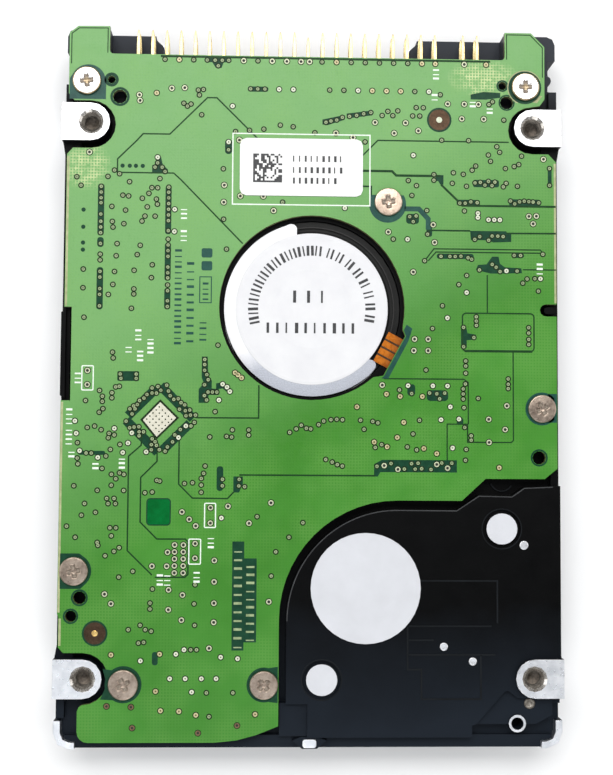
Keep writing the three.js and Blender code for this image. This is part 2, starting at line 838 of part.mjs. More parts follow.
// Foil seal over the motor: a disc with a wider flap from upper left round to lower right.
const SEAL_DISC = 10.65;
const SEAL_FLAP = 12.25;
piece(
  spindle,
  "motor_seal",
  plate(
    [
      ...arc([0, 0], SEAL_FLAP, 104, 320, 30),
      ...arc([0, 0], SEAL_DISC, 323, 459, 20),
    ],
    7.86,
    8.0,
  ),
  WHITE_PAPER,
);

// Flat lead from the motor out under the board.
const LEAD_ANGLE = -30;
const lead = piece(
  spindle,
  "motor_lead",
  plate(rectangle(11.0, -2.3, 17.5, 2.3), 8.03, 8.15),
  AMBER_FILM,
);
lead.rotation.z = rad(LEAD_ANGLE);

// ---------------------------------------------------------------- head arm
// Built along +X from the pivot, then turned to where it parks on the ramp.
const headArm = new THREE.Group();
headArm.position.set(...PIVOT, 0);
headArm.rotation.z = rad(PARKED_ANGLE);
drive.add(headArm);

const ARM_LEVELS = [
  [2.2, 2.9],
  [5.0, 5.7],
];
const SHAFT_RADIUS = 2.0;
const BEARING_OUTER = 4.4;
const ARM_HUB = 6.4;
const BACK_ANGLE = 180;

function actuatorArm() {
  const hub = disc([0, 0], ARM_HUB, ARM_LEVELS[0][0], ARM_LEVELS[1][1], 28);
  const blade = ARM_LEVELS.map(([low, high]) =>
    plate(
      rounded([
        [2.0, -6.0],
        [9.0, -4.6],
        [21.5, -2.3, 1.2],
        [21.5, 2.3, 1.2],
        [9.0, 4.6],
        [2.0, 6.0],
      ]),
      low,
      high,
      [
        rounded([
          [9.2, -2.2, 0.5],
          [17.0, -0.9, 0.5],
          [17.0, 0.9, 0.5],
          [9.2, 2.2, 0.5],
        ]),
      ],
    ),
  );
  const prongs = [-1, 1].map((side) =>
    plate(
      sector([0, 0], 5.0, 14.8, BACK_ANGLE + side * (COIL_HALF_ANGLE + 3.7), 3, 3),
      COIL_LOW,
      COIL_HIGH,
    ),
  );
  const clear = plate(
    sector([0, 0], COIL_INNER - 0.15, COIL_OUTER + 1, BACK_ANGLE, COIL_HALF_ANGLE + 0.7, 8),
    COIL_LOW - 1,
    COIL_HIGH + 1,
  );
  return cut(join(hub, ...blade, ...prongs), clear, disc([0, 0], BEARING_OUTER + 0.1, 0, 9, 32));
}
piece(headArm, "actuator_arm", actuatorArm(), BARE_ALUMINIUM);

piece(
  headArm,
  "voice_coil",
  plate(
    sector([0, 0], COIL_INNER, COIL_OUTER, BACK_ANGLE, COIL_HALF_ANGLE, 8),
    COIL_LOW,
    COIL_HIGH,
    [sector([0, 0], 12.0, 15.8, BACK_ANGLE, 8, 4)],
  ),
  COPPER,
);
piece(
  headArm,
  "pivot_bearing",
  ring([0, 0], SHAFT_RADIUS + 0.08, BEARING_OUTER, 1.8, 6.9, 32),
  STEEL,
);

// Sheet springs, each with a lift tab past the head, on the disk side of each blade.
const SPRING_LEVELS = { upper: [2.96, 3.14], lower: [4.76, 4.94] };
const SLIDER_LEVELS = { upper: [3.18, 3.5], lower: [4.4, 4.72] };
for (const name of ["upper", "lower"]) {
  const spring = plate(
    [
      [15.5, -2.0],
      [21.0, -2.2],
      [32.0, -0.9],
      [34.4, -0.8],
      [34.8, -0.4],
      [36.7, -0.4],
      [36.7, 0.4],
      [34.8, 0.4],
      [34.4, 0.8],
      [32.0, 0.9],
      [21.0, 2.2],
      [15.5, 2.0],
    ],
    ...SPRING_LEVELS[name],
  );
  piece(headArm, `suspension_${name}`, spring, STEEL);
  piece(
    headArm,
    `head_slider_${name}`,
    block(HEAD_REACH - 0.8, HEAD_REACH + 0.6, -0.6, 0.6, ...SLIDER_LEVELS[name]),
    CERAMIC,
  );
}

const pivot = new THREE.Group();
pivot.position.set(...PIVOT, 0);
drive.add(pivot);
piece(
  pivot,
  "pivot_shaft",
  cut(
    join(disc([0, 0], SHAFT_RADIUS, 1.3, 7.3, 28), disc([0, 0], 3.2, 7.15, COIL_ROOM_IN - 0.05)),
    disc([0, 0], 0.95, 1, 5, 16),
  ),
  STEEL,
);

// ---------------------------------------------------------------- voice coil motor
const YOKE_EARS = [-22, 22].map((offset) => polar(20.3, MAGNET_ANGLE + offset));
function yokePlate(low, high) {
  const fan = plate(sector([0, 0], 8.6, 19.6, MAGNET_ANGLE, 30, 10), low, high);
  return join(fan, ...YOKE_EARS.map((at) => disc(at, 1.6, low, high, 12)));
}
const UPPER_YOKE = [1.3, 2.05];
const LOWER_YOKE = [6.7, 7.5];
piece(pivot, "yoke_upper", yokePlate(...UPPER_YOKE), STEEL);
piece(
  pivot,
  "yoke_lower",
  join(yokePlate(...LOWER_YOKE), ...YOKE_EARS.map((at) => disc(at, 1.0, 2.15, 6.9, 12))),
  STEEL,
);
const magnetOutline = sector([0, 0], 9.8, 18.7, MAGNET_ANGLE, 27, 10);
piece(pivot, "magnet_upper", plate(magnetOutline, 2.1, 2.95), MAGNET_METAL);
piece(pivot, "magnet_lower", plate(magnetOutline, 5.05, 6.65), MAGNET_METAL);

// ---------------------------------------------------------------- small inner pieces
// Load ramp: the lift tabs rest on its two faces beyond the disk's edge.
function loadRamp() {
  const fin = plate(sector([0, 0], 35.0, 37.7, PARKED_ANGLE + 0.6, 4.6, 6), 3.3, 4.6);
  const foot = plate(sector([0, 0], 37.3, 40.0, PARKED_ANGLE + 1.5, 4.2, 4), 3.3, FLOOR_IN - 0.05);
  return join(fin, foot);
}
piece(pivot, "load_ramp", loadRamp(), RAMP_PLASTIC);

const CRASH_STOP = polar(14, -91);
piece(pivot, "crash_stop", disc(CRASH_STOP, 1.1, 3.0, COIL_ROOM_IN - 0.05, 18), RUBBER);

// Inertial latch beside the coil: it turns on a post of the casting and catches the arm in a
// knock.
const latch = new THREE.Group();
latch.position.set(...LATCH_PIN, 0);
drive.add(latch);
piece(
  latch,
  "inertial_latch",
  cut(
    join(
      disc([0, 0], 1.4, 3.2, 4.7, 20),
      plate(
        [
          [-0.4, 1.3],
          [-4.4, 3.1],
          [-5.0, 1.9],
          [-1.0, -0.9],
        ],
        3.2,
        4.7,
      ),
    ),
    disc([0, 0], 0.68, 0, 9, 16),
  ),
  BLACK_PLASTIC,
);

// Flex circuit: a thin upright ribbon in a loop from the arm's side to its bracket.
function ribbon(points, thick, low, high) {
  const curve = new THREE.CatmullRomCurve3(points.map(([x, y]) => new THREE.Vector3(x, y, 0)));
  const steps = 12;
  const left = [];
  const right = [];
  for (let i = 0; i <= steps; i++) {
    const at = curve.getPoint(i / steps);
    const along = curve.getTangent(i / steps);
    left.push([at.x - (along.y * thick) / 2, at.y + (along.x * thick) / 2]);
    right.push([at.x + (along.y * thick) / 2, at.y - (along.x * thick) / 2]);
  }
  return plate([...left, ...right.reverse()], low, high);
}
piece(
  drive,
  "flex_circuit",
  ribbon(
    [
      [0.6, -32.2],
      [-2.5, -36.5],
      [-5.5, -41.5],
      [-9.0, -42.0],
      [-10.8, -38.0],
      [-10.8, -33.5],
    ],
    0.2,
    2.6,
    5.4,
  ),
  AMBER_FILM,
);
piece(
  drive,
  "flex_bracket",
  join(
    plate(rectangle(-24.5, -33.0, -10.0, -29.2, 0.6), 5.45, 6.1),
    block(-20.1, -16.1, -31.0, -21.0, 5.45, 6.1),
  ),
  BARE_ALUMINIUM,
);
const [windowX, windowY] = FLEX_WINDOW;
piece(
  drive,
  "flex_connector",
  block(windowX - 1.9, windowX + 1.9, windowY - 3.8, windowY + 3.8, 6.15, 8.1),
  BLACK_PLASTIC,
);

const filter = piece(
  drive,
  "recirculation_filter",
  plate(rectangle(-2.4, -1, 2.4, 1, 0.4), 1.8, FLOOR_IN - 0.1),
  FILTER_CLOTH,
);
filter.position.set(28.2, -12.8, 0);
filter.rotation.z = rad(50.5);
piece(drive, "breather_filter", disc([-20, -34], 3.0, 0.65, 1.5, 24), FILTER_CLOTH);

// ---------------------------------------------------------------- seals and label outside
piece(pivot, "pivot_seal", disc([0, 0.05], 7.58, SEAL_LOW, SEAL_LOW + SEAL_THICK, 40), WHITE_PAPER);
ACCESS_SEALS.forEach((at, i) =>
  piece(
    drive,
    `access_seal_${i + 1}`,
    disc(at, ACCESS_SEAL_RADIUS, SEAL_LOW, SEAL_LOW + SEAL_THICK, 24),
    WHITE_PAPER,
  ),
);
piece(
  drive,
  "board_label",
  plate(rectangle(-10.2, 26.1, 7.0, 34.2, 0.9), BOARD_HIGH + 0.05, BOARD_HIGH + 0.15),
  WHITE_PAPER,
);

export default drive;
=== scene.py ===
import math
import random

import bmesh
import bpy
from mathutils import Matrix, Vector


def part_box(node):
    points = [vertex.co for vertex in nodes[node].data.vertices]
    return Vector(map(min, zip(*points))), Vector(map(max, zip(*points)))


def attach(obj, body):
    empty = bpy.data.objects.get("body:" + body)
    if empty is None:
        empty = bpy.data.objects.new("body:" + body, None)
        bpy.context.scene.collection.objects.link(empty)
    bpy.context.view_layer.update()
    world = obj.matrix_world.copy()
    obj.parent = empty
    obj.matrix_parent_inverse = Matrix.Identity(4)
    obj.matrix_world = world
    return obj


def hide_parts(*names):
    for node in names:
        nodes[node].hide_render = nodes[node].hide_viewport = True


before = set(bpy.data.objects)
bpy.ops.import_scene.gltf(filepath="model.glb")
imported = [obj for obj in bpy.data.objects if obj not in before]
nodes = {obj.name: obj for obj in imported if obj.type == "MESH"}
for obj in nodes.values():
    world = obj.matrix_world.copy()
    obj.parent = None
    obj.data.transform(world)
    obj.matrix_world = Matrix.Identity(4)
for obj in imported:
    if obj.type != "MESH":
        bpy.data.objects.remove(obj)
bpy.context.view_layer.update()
MM = 0.001
MM_SCALE = Matrix.Scale(MM, 4)
random.seed(7)

# ---------------------------------------------------------------- heights and places
BOARD_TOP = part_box("circuit_board")[1].z / MM
ROOF_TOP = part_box("pivot_seal")[0].z / MM - 0.05  # the seals lie just clear of the roof
SPINDLE = (0.0, 10.4)
SUNK = 0.02  # how far a printed or etched layer reaches into what it lies on
BOARD_LOW = BOARD_TOP - SUNK

# ---------------------------------------------------------------- camera
camera_data = bpy.data.cameras.new("camera")
camera = bpy.data.objects.new("camera", camera_data)
bpy.context.scene.collection.objects.link(camera)
camera.location = (-0.00646, -0.0100, 0.17477)
camera.rotation_euler = (0.056, -0.035, 0.006)
camera_data.sensor_width = 36
camera_data.lens = 55.74
camera_data.clip_start = 0.005
camera_data.clip_end = 20
bpy.context.scene.camera = camera


# ---------------------------------------------------------------- node materials
class Look:
    """A Principled material whose colour, roughness and relief come from object-space noise."""

    def __init__(self, name, metallic=0.0, coat=0.0, coat_roughness=0.1, specular=0.5):
        self.material = bpy.data.materials.new(name)
        self.material.use_nodes = True
        self.tree = self.material.node_tree
        self.shader = self.tree.nodes["Principled BSDF"]
        self.shader.inputs["Metallic"].default_value = metallic
        self.shader.inputs["Coat Weight"].default_value = coat
        self.shader.inputs["Coat Roughness"].default_value = coat_roughness
        self.shader.inputs["Specular IOR Level"].default_value = specular
        self.where = self.node("ShaderNodeTexCoord").outputs["Object"]

    def node(self, kind, **settings):
        made = self.tree.nodes.new(kind)
        for key, value in settings.items():
            setattr(made, key, value)
        return made

    def link(self, output, to):
        self.tree.links.new(output, to)

    def noise(self, size_mm, detail=4.0, stretch=(1, 1, 1), roughness=0.55):
        """Noise whose features are about size_mm across."""
        mapping = self.node("ShaderNodeMapping")
        mapping.inputs["Scale"].default_value = stretch
        self.link(self.where, mapping.inputs["Vector"])
        noise = self.node("ShaderNodeTexNoise")
        noise.inputs["Scale"].default_value = 1.0 / (size_mm * MM)
        noise.inputs["Detail"].default_value = detail
        noise.inputs["Roughness"].default_value = roughness
        self.link(mapping.outputs["Vector"], noise.inputs["Vector"])
        return noise.outputs["Fac"]

    def wave(self, period_mm, direction, distortion, kind="BANDS"):
        """Parallel or ring waves; the node repeats every pi / (10 x scale) metres."""
        wave = self.node("ShaderNodeTexWave", wave_type=kind)
        if kind == "BANDS":
            wave.bands_direction = direction
        else:
            wave.rings_direction = direction
        wave.inputs["Scale"].default_value = math.pi / (10 * period_mm * MM)
        wave.inputs["Distortion"].default_value = distortion
        wave.inputs["Detail"].default_value = 2.0
        self.link(self.where, wave.inputs["Vector"])
        return wave.outputs["Fac"]

    def ramp(self, fac, stops):
        """Colours along a factor; stops are (position, colour) pairs."""
        ramp = self.node("ShaderNodeValToRGB")
        elements = ramp.color_ramp.elements
        while len(elements) < len(stops):
            elements.new(0.5)
        for element, (position, colour) in zip(elements, stops):
            element.position = position
            element.color = (*colour, 1.0)
        self.link(fac, ramp.inputs["Fac"])
        return ramp.outputs["Color"]

    def mottle(self, fac, dark, light, low=0.3, high=0.7):
        return self.ramp(fac, [(low, dark), (high, light)])

    def spread(self, fac, low, high, from_low=0.3, from_high=0.7):
        """A factor between from_low and from_high, mapped to low and high."""
        remap = self.node("ShaderNodeMapRange")
        remap.inputs["From Min"].default_value = from_low
        remap.inputs["From Max"].default_value = from_high
        remap.inputs["To Min"].default_value = low
        remap.inputs["To Max"].default_value = high
        self.link(fac, remap.inputs["Value"])
        return remap.outputs["Result"]

    def mix(self, fac, a, b):
        """Colour a where fac is 0 and b where it is 1; each is a number, a colour or an output."""
        mix = self.node("ShaderNodeMix", data_type="RGBA")
        for value, socket in ((fac, 0), (a, 6), (b, 7)):
            if isinstance(value, (int, float)):
                mix.inputs[socket].default_value = value
            elif isinstance(value, tuple):
                mix.inputs[socket].default_value = (*value, 1.0)
            else:
                self.link(value, mix.inputs[socket])
        return mix.outputs[2]

    def math(self, operation, a, b):
        made = self.node("ShaderNodeMath", operation=operation)
        for i, value in enumerate((a, b)):
            if isinstance(value, (int, float)):
                made.inputs[i].default_value = value
            else:
                self.link(value, made.inputs[i])
        return made.outputs[0]

    def axis(self, name, source=None, times=1.0):
        """One coordinate of the place, or of another vector."""
        split = self.node("ShaderNodeSeparateXYZ")
        self.link(self.where if source is None else source, split.inputs[0])
        found = split.outputs[name]
        return found if times == 1.0 else self.math("MULTIPLY", found, times)

    def spot(self, x, y, wide, deep):
        """1 near a place in the plane, falling to 0 at an ellipse round it; millimetres."""
        squares = []
        for name, middle, half in (("X", x, wide), ("Y", y, deep)):
            off = self.math("SUBTRACT", self.axis(name), middle * MM)
            share = self.math("DIVIDE", off, half * MM)
            squares.append(self.math("MULTIPLY", share, share))
        return self.spread(self.math("ADD", *squares), 1.0, 0.0, 0.1, 1.0)

    def colour(self, source):
        self.link(source, self.shader.inputs["Base Color"])

    def rough(self, source, low, high):
        self.link(self.spread(source, low, high), self.shader.inputs["Roughness"])

    def relief(self, height, depth_mm, edge_mm=0.0, strength=1.0):
        """Small surface relief, and a soft edge where edge_mm is given."""
        bump = self.node("ShaderNodeBump")
        bump.inputs["Strength"].default_value = strength
        bump.inputs["Distance"].default_value = depth_mm * MM
        self.link(height, bump.inputs["Height"])
        if edge_mm:
            edge = self.node("ShaderNodeBevel", samples=6)
            edge.inputs["Radius"].default_value = edge_mm * MM
            self.link(edge.outputs["Normal"], bump.inputs["Normal"])
        self.link(bump.outputs["Normal"], self.shader.inputs["Normal"])


def plain_look(name, light, dark, size_mm, rough, depth_mm=0.01, grain_mm=0.15, edge_mm=0.0, **kind):
    """Mottled colour between two shades, with fine grain in roughness and relief."""
    look = Look(name, **kind)
    grain = look.noise(grain_mm, detail=3.0)
    look.colour(look.mottle(look.noise(size_mm), dark, light, 0.25, 0.75))
    look.rough(grain, *rough)
    look.relief(grain, depth_mm, edge_mm)
    return look.material


def board_look():
    """Green solder mask over copper: faint glass weave, slow changes of tone, fibreglass edges, painted glare
    paling one corner, and two painted glare patches on the weave.
    """
    look = Look("solder_mask", specular=0.25)
    slow = look.noise(14, detail=3.0)
    mask = look.mottle(slow, (0.035, 0.190, 0.013), (0.054, 0.246, 0.026))
    # Painted glare: the mask turns cooler and paler towards one corner.
    glare_ramp = look.math("ADD", look.axis("Y", times=30.0), 0.2)
    pale = look.spread(look.math("ADD", glare_ramp, look.axis("X", times=-20.0)), 0.0, 1.0, 0.0, 1.0)
    mask = look.mix(pale, mask, (0.165, 0.372, 0.124))
    weave = look.math("MAXIMUM", look.wave(0.42, "X", 0.6), look.wave(0.42, "Y", 0.6))
    patchy = look.spread(look.noise(9, detail=2.0), 0.03, 0.24, 0.42, 0.62)
    mask = look.mix(look.math("MULTIPLY", weave, patchy), mask, (0.20, 0.42, 0.10))
    # Two patches of painted glare, pale yellow where light glints on the glass weave.
    glare_spots = look.math("MAXIMUM", look.spot(24.0, 43.3, 5.2, 3.0), look.spot(-31.5, 30.0, 3.6, 3.6))
    threads = look.spread(look.math("MULTIPLY", weave, look.noise(0.8)), 0.0, 0.85, 0.3, 0.6)
    mask = look.mix(look.math("MULTIPLY", glare_spots, threads), mask, (0.66, 0.70, 0.36))
    speck = look.spread(look.noise(0.35, detail=2.0), 0.0, 0.12, 0.55, 0.75)
    mask = look.mix(speck, mask, (0.045, 0.19, 0.025))
    upward = look.axis("Z", look.node("ShaderNodeTexCoord").outputs["Normal"])
    flat = look.spread(upward, 0.0, 1.0, 0.4, 0.6)
    fibre = look.mottle(look.noise(0.3), (0.09, 0.09, 0.04), (0.17, 0.16, 0.08))
    look.colour(look.mix(flat, fibre, mask))
    look.rough(look.noise(1.2), 0.30, 0.42)
    look.relief(weave, 0.012, strength=0.5)
    return look.material


def coat_look():
    """Satin black coat over a casting: slight orange peel, faint scuffs, a painted bluish reflection towards
    the front end, and greyer towards the rear end.
    """
    look = Look("black_coat", specular=0.06)
    cloudy = look.spread(look.noise(16), -0.03, 0.03)
    along = look.math("ADD", look.axis("Y", times=10.0), 0.5)
    # Painted reflection along the length: bluish at the front end and darkest just behind it; greyer towards
    # the rear end.
    shade = look.ramp(
        look.math("ADD", along, cloudy),
        [
            (0.04, (0.0110, 0.0150, 0.0215)),
            (0.20, (0.0016, 0.0017, 0.0019)),
            (0.88, (0.0060, 0.0060, 0.0062)),
            (0.95, (0.0420, 0.0460, 0.0550)),
        ],
    )
    scuff = look.spread(look.noise(0.8, stretch=(1, 4, 1)), 0.0, 0.14, 0.6, 0.85)
    look.colour(look.mix(scuff, shade, (0.020, 0.022, 0.027)))
    look.rough(look.noise(3.0), 0.34, 0.5)
    look.relief(look.noise(0.35, detail=3.0), 0.012, edge_mm=0.12)
    return look.material


def machined_look(name, light, dark, rough, direction="X", period_mm=0.07, depth_mm=0.004):
    """Milled or brushed aluminium: fine parallel tool marks and a soft mottle."""
    look = Look(name, metallic=1.0)
    look.colour(look.mottle(look.noise(1.6, detail=5.0), dark, light))
    look.rough(look.noise(0.6), *rough)
    look.relief(look.wave(period_mm, direction, 1.5), depth_mm, edge_mm=0.08)
    return look.material


def turned_look(name, light, dark, rough):
    """Turned or stamped metal: rings about the piece's own centre, with stains."""
    look = Look(name, metallic=1.0)
    stain = look.noise(0.9, detail=6.0, roughness=0.7)
    look.colour(look.mottle(stain, dark, light, high=0.62))
    look.rough(look.noise(0.4), *rough)
    look.relief(look.wave(0.12, "Z", 1.2, kind="RINGS"), 0.005, edge_mm=0.05)
    return look.material


def paper_look(name, light, dark, rough=(0.5, 0.62)):
    """Paper or matt film with a fine fibrous grain."""
    look = Look(name, specular=0.4)
    fibres = look.noise(0.22, detail=5.0, roughness=0.7)
    look.colour(look.mottle(look.noise(3.5), dark, light))
    look.rough(fibres, *rough)
    look.relief(fibres, 0.006, edge_mm=0.05)
    return look.material


def wire_look():
    """Enamelled copper wire, turn beside turn."""
    look = Look("enamelled_wire", metallic=0.8, coat=0.6)
    turns = look.wave(0.12, "X", 1.0)
    look.colour(look.mottle(turns, (0.22, 0.07, 0.02), (0.62, 0.27, 0.10), 0.1, 0.8))
    look.rough(turns, 0.45, 0.25)
    look.relief(turns, 0.03)
    return look.material


def film_look():
    """Amber polyimide film, with painted shade darkening it between two distances from the piece's own
    centre.
    """
    look = Look("amber_film", coat=0.12, coat_roughness=0.2, specular=0.25)
    streaks = look.noise(0.5)
    x, y = look.axis("X"), look.axis("Y")
    out = look.math("ADD", look.math("MULTIPLY", x, x), look.math("MULTIPLY", y, y))
    # Painted shade on the lead's outer end.
    painted_shade = look.spread(out, 0.0, 0.85, (12.0 * MM) ** 2, (14.4 * MM) ** 2)
    film = look.mottle(streaks, (0.40, 0.100, 0.003), (0.56, 0.165, 0.004))
    look.colour(look.mix(painted_shade, film, (0.10, 0.022, 0.006)))
    look.rough(streaks, 0.22, 0.38)
    look.relief(streaks, 0.008)
    return look.material


def foil_look():
    """Seal film: white on the left, bare foil towards the front right."""
    look = Look("foil", specular=0.5)
    lean = look.math("ADD", look.axis("Y", times=-1.0), look.axis("X", times=0.55))
    grain = look.math("MULTIPLY", look.noise(0.8, detail=5.0), 0.0012)
    foil = look.spread(look.math("ADD", lean, grain), 0.0, 1.0, 0.0012, 0.0052)
    silver = look.mottle(look.noise(0.16), (0.36, 0.38, 0.43), (0.52, 0.54, 0.60))
    look.colour(look.mix(foil, (0.86, 0.86, 0.88), silver))
    look.link(look.math("MULTIPLY", foil, 0.55), look.shader.inputs["Metallic"])
    look.rough(look.noise(0.3), 0.38, 0.55)
    look.relief(look.noise(0.2), 0.01, edge_mm=0.06)
    return look.material


COAT = coat_look()
FLANGE_COAT = plain_look(
    "flange_coat", (0.017, 0.017, 0.016), (0.007, 0.007, 0.007), 5, (0.34, 0.5), specular=0.15,
    edge_mm=0.06,
)
# Painted highlight: a lighter coat for lines where light catches an edge or a fine ring.
HIGHLIGHT_COAT = plain_look(
    "painted_highlight_coat", (0.060, 0.062, 0.064), (0.024, 0.025, 0.027), 1.6, (0.3, 0.45), specular=0.3
)
MACHINED = machined_look("machined_aluminium", (0.93, 0.93, 0.95), (0.70, 0.71, 0.74), (0.24, 0.40))
BORED = plain_look(
    "bored_aluminium", (0.34, 0.31, 0.27), (0.06, 0.05, 0.04), 0.5, (0.25, 0.45), metallic=0.6,
    depth_mm=0.04,
)
CHAMFER = plain_look(
    "cut_chamfer", (0.86, 0.84, 0.80), (0.20, 0.17, 0.14), 0.9, (0.2, 0.35), metallic=0.8, depth_mm=0.02
)
BOARD = board_look()
DARK_MASK = plain_look(
    "mask_over_laminate", (0.011, 0.064, 0.031), (0.004, 0.034, 0.017), 1.0, (0.28, 0.42), specular=0.12
)
DARK_LINE = plain_look(
    "etched_line", (0.014, 0.062, 0.016), (0.006, 0.034, 0.009), 1.5, (0.3, 0.45), specular=0.12
)
RIDGE_COAT = plain_look(
    "ridge_coat", (0.0095, 0.0115, 0.0140), (0.0040, 0.0050, 0.0060), 4.0, (0.35, 0.5), specular=0.12
)
TEAL_MASK = plain_look(
    "mask_over_bare_board", (0.018, 0.092, 0.068), (0.008, 0.052, 0.042), 1.2, (0.25, 0.4), specular=0.2
)
EMERALD = plain_look(
    "mask_window", (0.001, 0.150, 0.030), (0.001, 0.090, 0.016), 1.4, (0.25, 0.38), specular=0.06
)
INK = plain_look("white_ink", (0.86, 0.92, 0.84), (0.70, 0.80, 0.68), 0.5, (0.5, 0.65))
TIN = plain_look(
    "tinned_pad", (0.64, 0.68, 0.46), (0.40, 0.44, 0.27), 0.5, (0.3, 0.45), metallic=0.15, grain_mm=0.08
)
TENTED = plain_look(
    "mask_over_via", (0.38, 0.47, 0.26), (0.20, 0.27, 0.13), 0.7, (0.3, 0.45), specular=0.2
)
VIA_RIM = plain_look(
    "via_rim", (0.014, 0.034, 0.010), (0.006, 0.016, 0.005), 0.6, (0.35, 0.5), specular=0.12
)
GILDED = plain_look("gilded_land", (0.64, 0.60, 0.33), (0.36, 0.31, 0.14), 0.4, (0.3, 0.45), metallic=0.1)
# Painted shade for the insides of holes and for a groove.
HOLE_SHADE = plain_look("painted_hole_shade", (0.010, 0.008, 0.007), (0.004, 0.003, 0.003), 0.4, (0.5, 0.7))
HOLE_GREY = plain_look("plugged_hole", (0.09, 0.085, 0.05), (0.035, 0.035, 0.022), 0.4, (0.4, 0.6))
HOLE_WHITE = plain_look("solder_filled", (0.72, 0.76, 0.60), (0.50, 0.55, 0.38), 0.4, (0.3, 0.5))
HOLE_BROWN = plain_look(
    "bronze_plated", (0.20, 0.13, 0.06), (0.09, 0.055, 0.028), 0.4, (0.3, 0.5), metallic=0.4
)
BROWN_PAD = turned_look("brown_pad", (0.090, 0.056, 0.036), (0.040, 0.027, 0.018), (0.35, 0.5))
BRASS = turned_look("brass_contact", (0.85, 0.58, 0.22), (0.60, 0.38, 0.12), (0.2, 0.35))
CREAM_PAD = plain_look("cream_pad", (0.72, 0.70, 0.58), (0.55, 0.53, 0.42), 0.8, (0.4, 0.6))
# Bare laminate, also used for painted glints round one screw.
LAMINATE_AND_GLINT = plain_look("bare_laminate_and_glint", (0.46, 0.48, 0.26), (0.26, 0.30, 0.13), 0.8, (0.45, 0.6))
BRIGHT_SCREW = turned_look("bright_plating", (0.97, 0.96, 0.94), (0.72, 0.69, 0.66), (0.18, 0.32))
WARM_SCREW = turned_look("warm_nickel", (0.42, 0.34, 0.275), (0.22, 0.165, 0.13), (0.26, 0.42))
CREAM_SCREW = turned_look("cream_nickel", (0.60, 0.48, 0.38), (0.36, 0.27, 0.21), (0.26, 0.42))
BRONZE_RIM = turned_look("bronze_rim", (0.46, 0.37, 0.24), (0.22, 0.16, 0.10), (0.28, 0.42))
# Painted shade for the floors of recesses in the threads and screw heads.
RECESS_SHADE = plain_look("painted_recess_shade", (0.34, 0.28, 0.22), (0.10, 0.08, 0.06), 0.3, (0.4, 0.6), metallic=0.3)
STEEL = machined_look("stamped_steel", (0.66, 0.66, 0.68), (0.45, 0.45, 0.47), (0.25, 0.4))
COVER = machined_look("brushed_cover", (0.78, 0.79, 0.80), (0.62, 0.63, 0.65), (0.28, 0.42), "X", 0.12, 0.006)
GOLD = plain_look(
    "gold_pin", (0.80, 0.67, 0.36), (0.60, 0.46, 0.20), 1.2, (0.24, 0.36), metallic=0.6, grain_mm=0.2,
    depth_mm=0.004, edge_mm=0.05,
)
PLASTIC = plain_look("moulded_plastic", (0.030, 0.028, 0.030), (0.016, 0.015, 0.017), 1.5, (0.42, 0.6))
CHIP = plain_look("chip_body", (0.030, 0.030, 0.032), (0.017, 0.017, 0.019), 0.5, (0.5, 0.65), grain_mm=0.06)
SEAL = paper_look("seal_film", (0.76, 0.76, 0.77), (0.70, 0.70, 0.72))
GREY_SEAL = paper_look("grey_seal", (0.64, 0.65, 0.685), (0.59, 0.60, 0.63), (0.35, 0.5))
LABEL = paper_look("label_paper", (0.89, 0.89, 0.88), (0.84, 0.84, 0.83))
PRINT = plain_look("black_print", (0.045, 0.045, 0.048), (0.015, 0.015, 0.017), 0.5, (0.45, 0.6))
FOIL = foil_look()
MIRROR = machined_look("disk_mirror", (0.86, 0.87, 0.89), (0.82, 0.83, 0.85), (0.04, 0.08), "X", 0.4, 0.0005)
WIRE = wire_look()
MAGNET = plain_look(
    "nickel_magnet", (0.60, 0.61, 0.63), (0.45, 0.46, 0.48), 2.0, (0.25, 0.4), metallic=0.9, edge_mm=0.1
)
AMBER = film_look()
RAMP = plain_look("natural_plastic", (0.80, 0.76, 0.64), (0.70, 0.66, 0.54), 2.0, (0.4, 0.55), edge_mm=0.1)
RUBBER = plain_look("rubber", (0.028, 0.028, 0.028), (0.015, 0.015, 0.015), 0.8, (0.65, 0.85), grain_mm=0.08)
FELT = plain_look(
    "filter_felt", (0.85, 0.85, 0.80), (0.68, 0.68, 0.63), 0.4, (0.8, 0.95), depth_mm=0.06, grain_mm=0.12
)
CERAMIC = plain_look("slider_ceramic", (0.10, 0.10, 0.11), (0.06, 0.06, 0.07), 0.3, (0.2, 0.35))
SPRING = machined_look("spring_steel", (0.62, 0.62, 0.62), (0.50, 0.50, 0.50), (0.18, 0.3))


# ---------------------------------------------------------------- mesh helpers
def piece(name, bm, looks, slot=None, replaced=(), at=(0, 0, 0), smooth=False, body="base"):
    """Turns a bmesh in millimetres into a piece that rides on a body; the floor has no body."""
    bmesh.ops.recalc_face_normals(bm, faces=bm.faces)
    for face in bm.faces:
        face.smooth = smooth
    mesh = bpy.data.meshes.new(name)
    bm.to_mesh(mesh)
    bm.free()
    mesh.transform(MM_SCALE)
    made = bpy.data.objects.new(name, mesh)
    bpy.context.scene.collection.objects.link(made)
    made.location = Vector(at) * MM
    for look in looks if isinstance(looks, list) else [looks]:
        mesh.materials.append(look)
    bpy.context.view_layer.update()
    if body:
        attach(made, body)
    if replaced:
        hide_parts(*replaced)
    return made


def add_prism(bm, outline, low, high):
    """A closed flat solid over an outline, between two heights."""
    bottom = [bm.verts.new((x, y, low)) for x, y in outline]
    top = [bm.verts.new((x, y, high)) for x, y in outline]
    count = len(outline)
    bm.faces.new(top)
    bm.faces.new(list(reversed(bottom)))
    for i in range(count):
        j = (i + 1) % count
        bm.faces.new((bottom[i], bottom[j], top[j], top[i]))


def arc(x, y, r, first, last, steps):
    """Points of an arc; angles in degrees."""
    points = []
    for i in range(steps + 1):
        angle = math.radians(first + (last - first) * i / steps)
        points.append((x + r * math.cos(angle), y + r * math.sin(angle)))
    return points


def circle(x, y, r, sides):
    return arc(x, y, r, 0, 360, sides)[:sides]


def add_ring(bm, x, y, inner, outer, low, high, sides):
    """A flat ring of rectangular section."""
    section = [(inner, low), (outer, low), (outer, high), (inner, high)]
    add_lathe(bm, x, y, section, sides, closed=True)


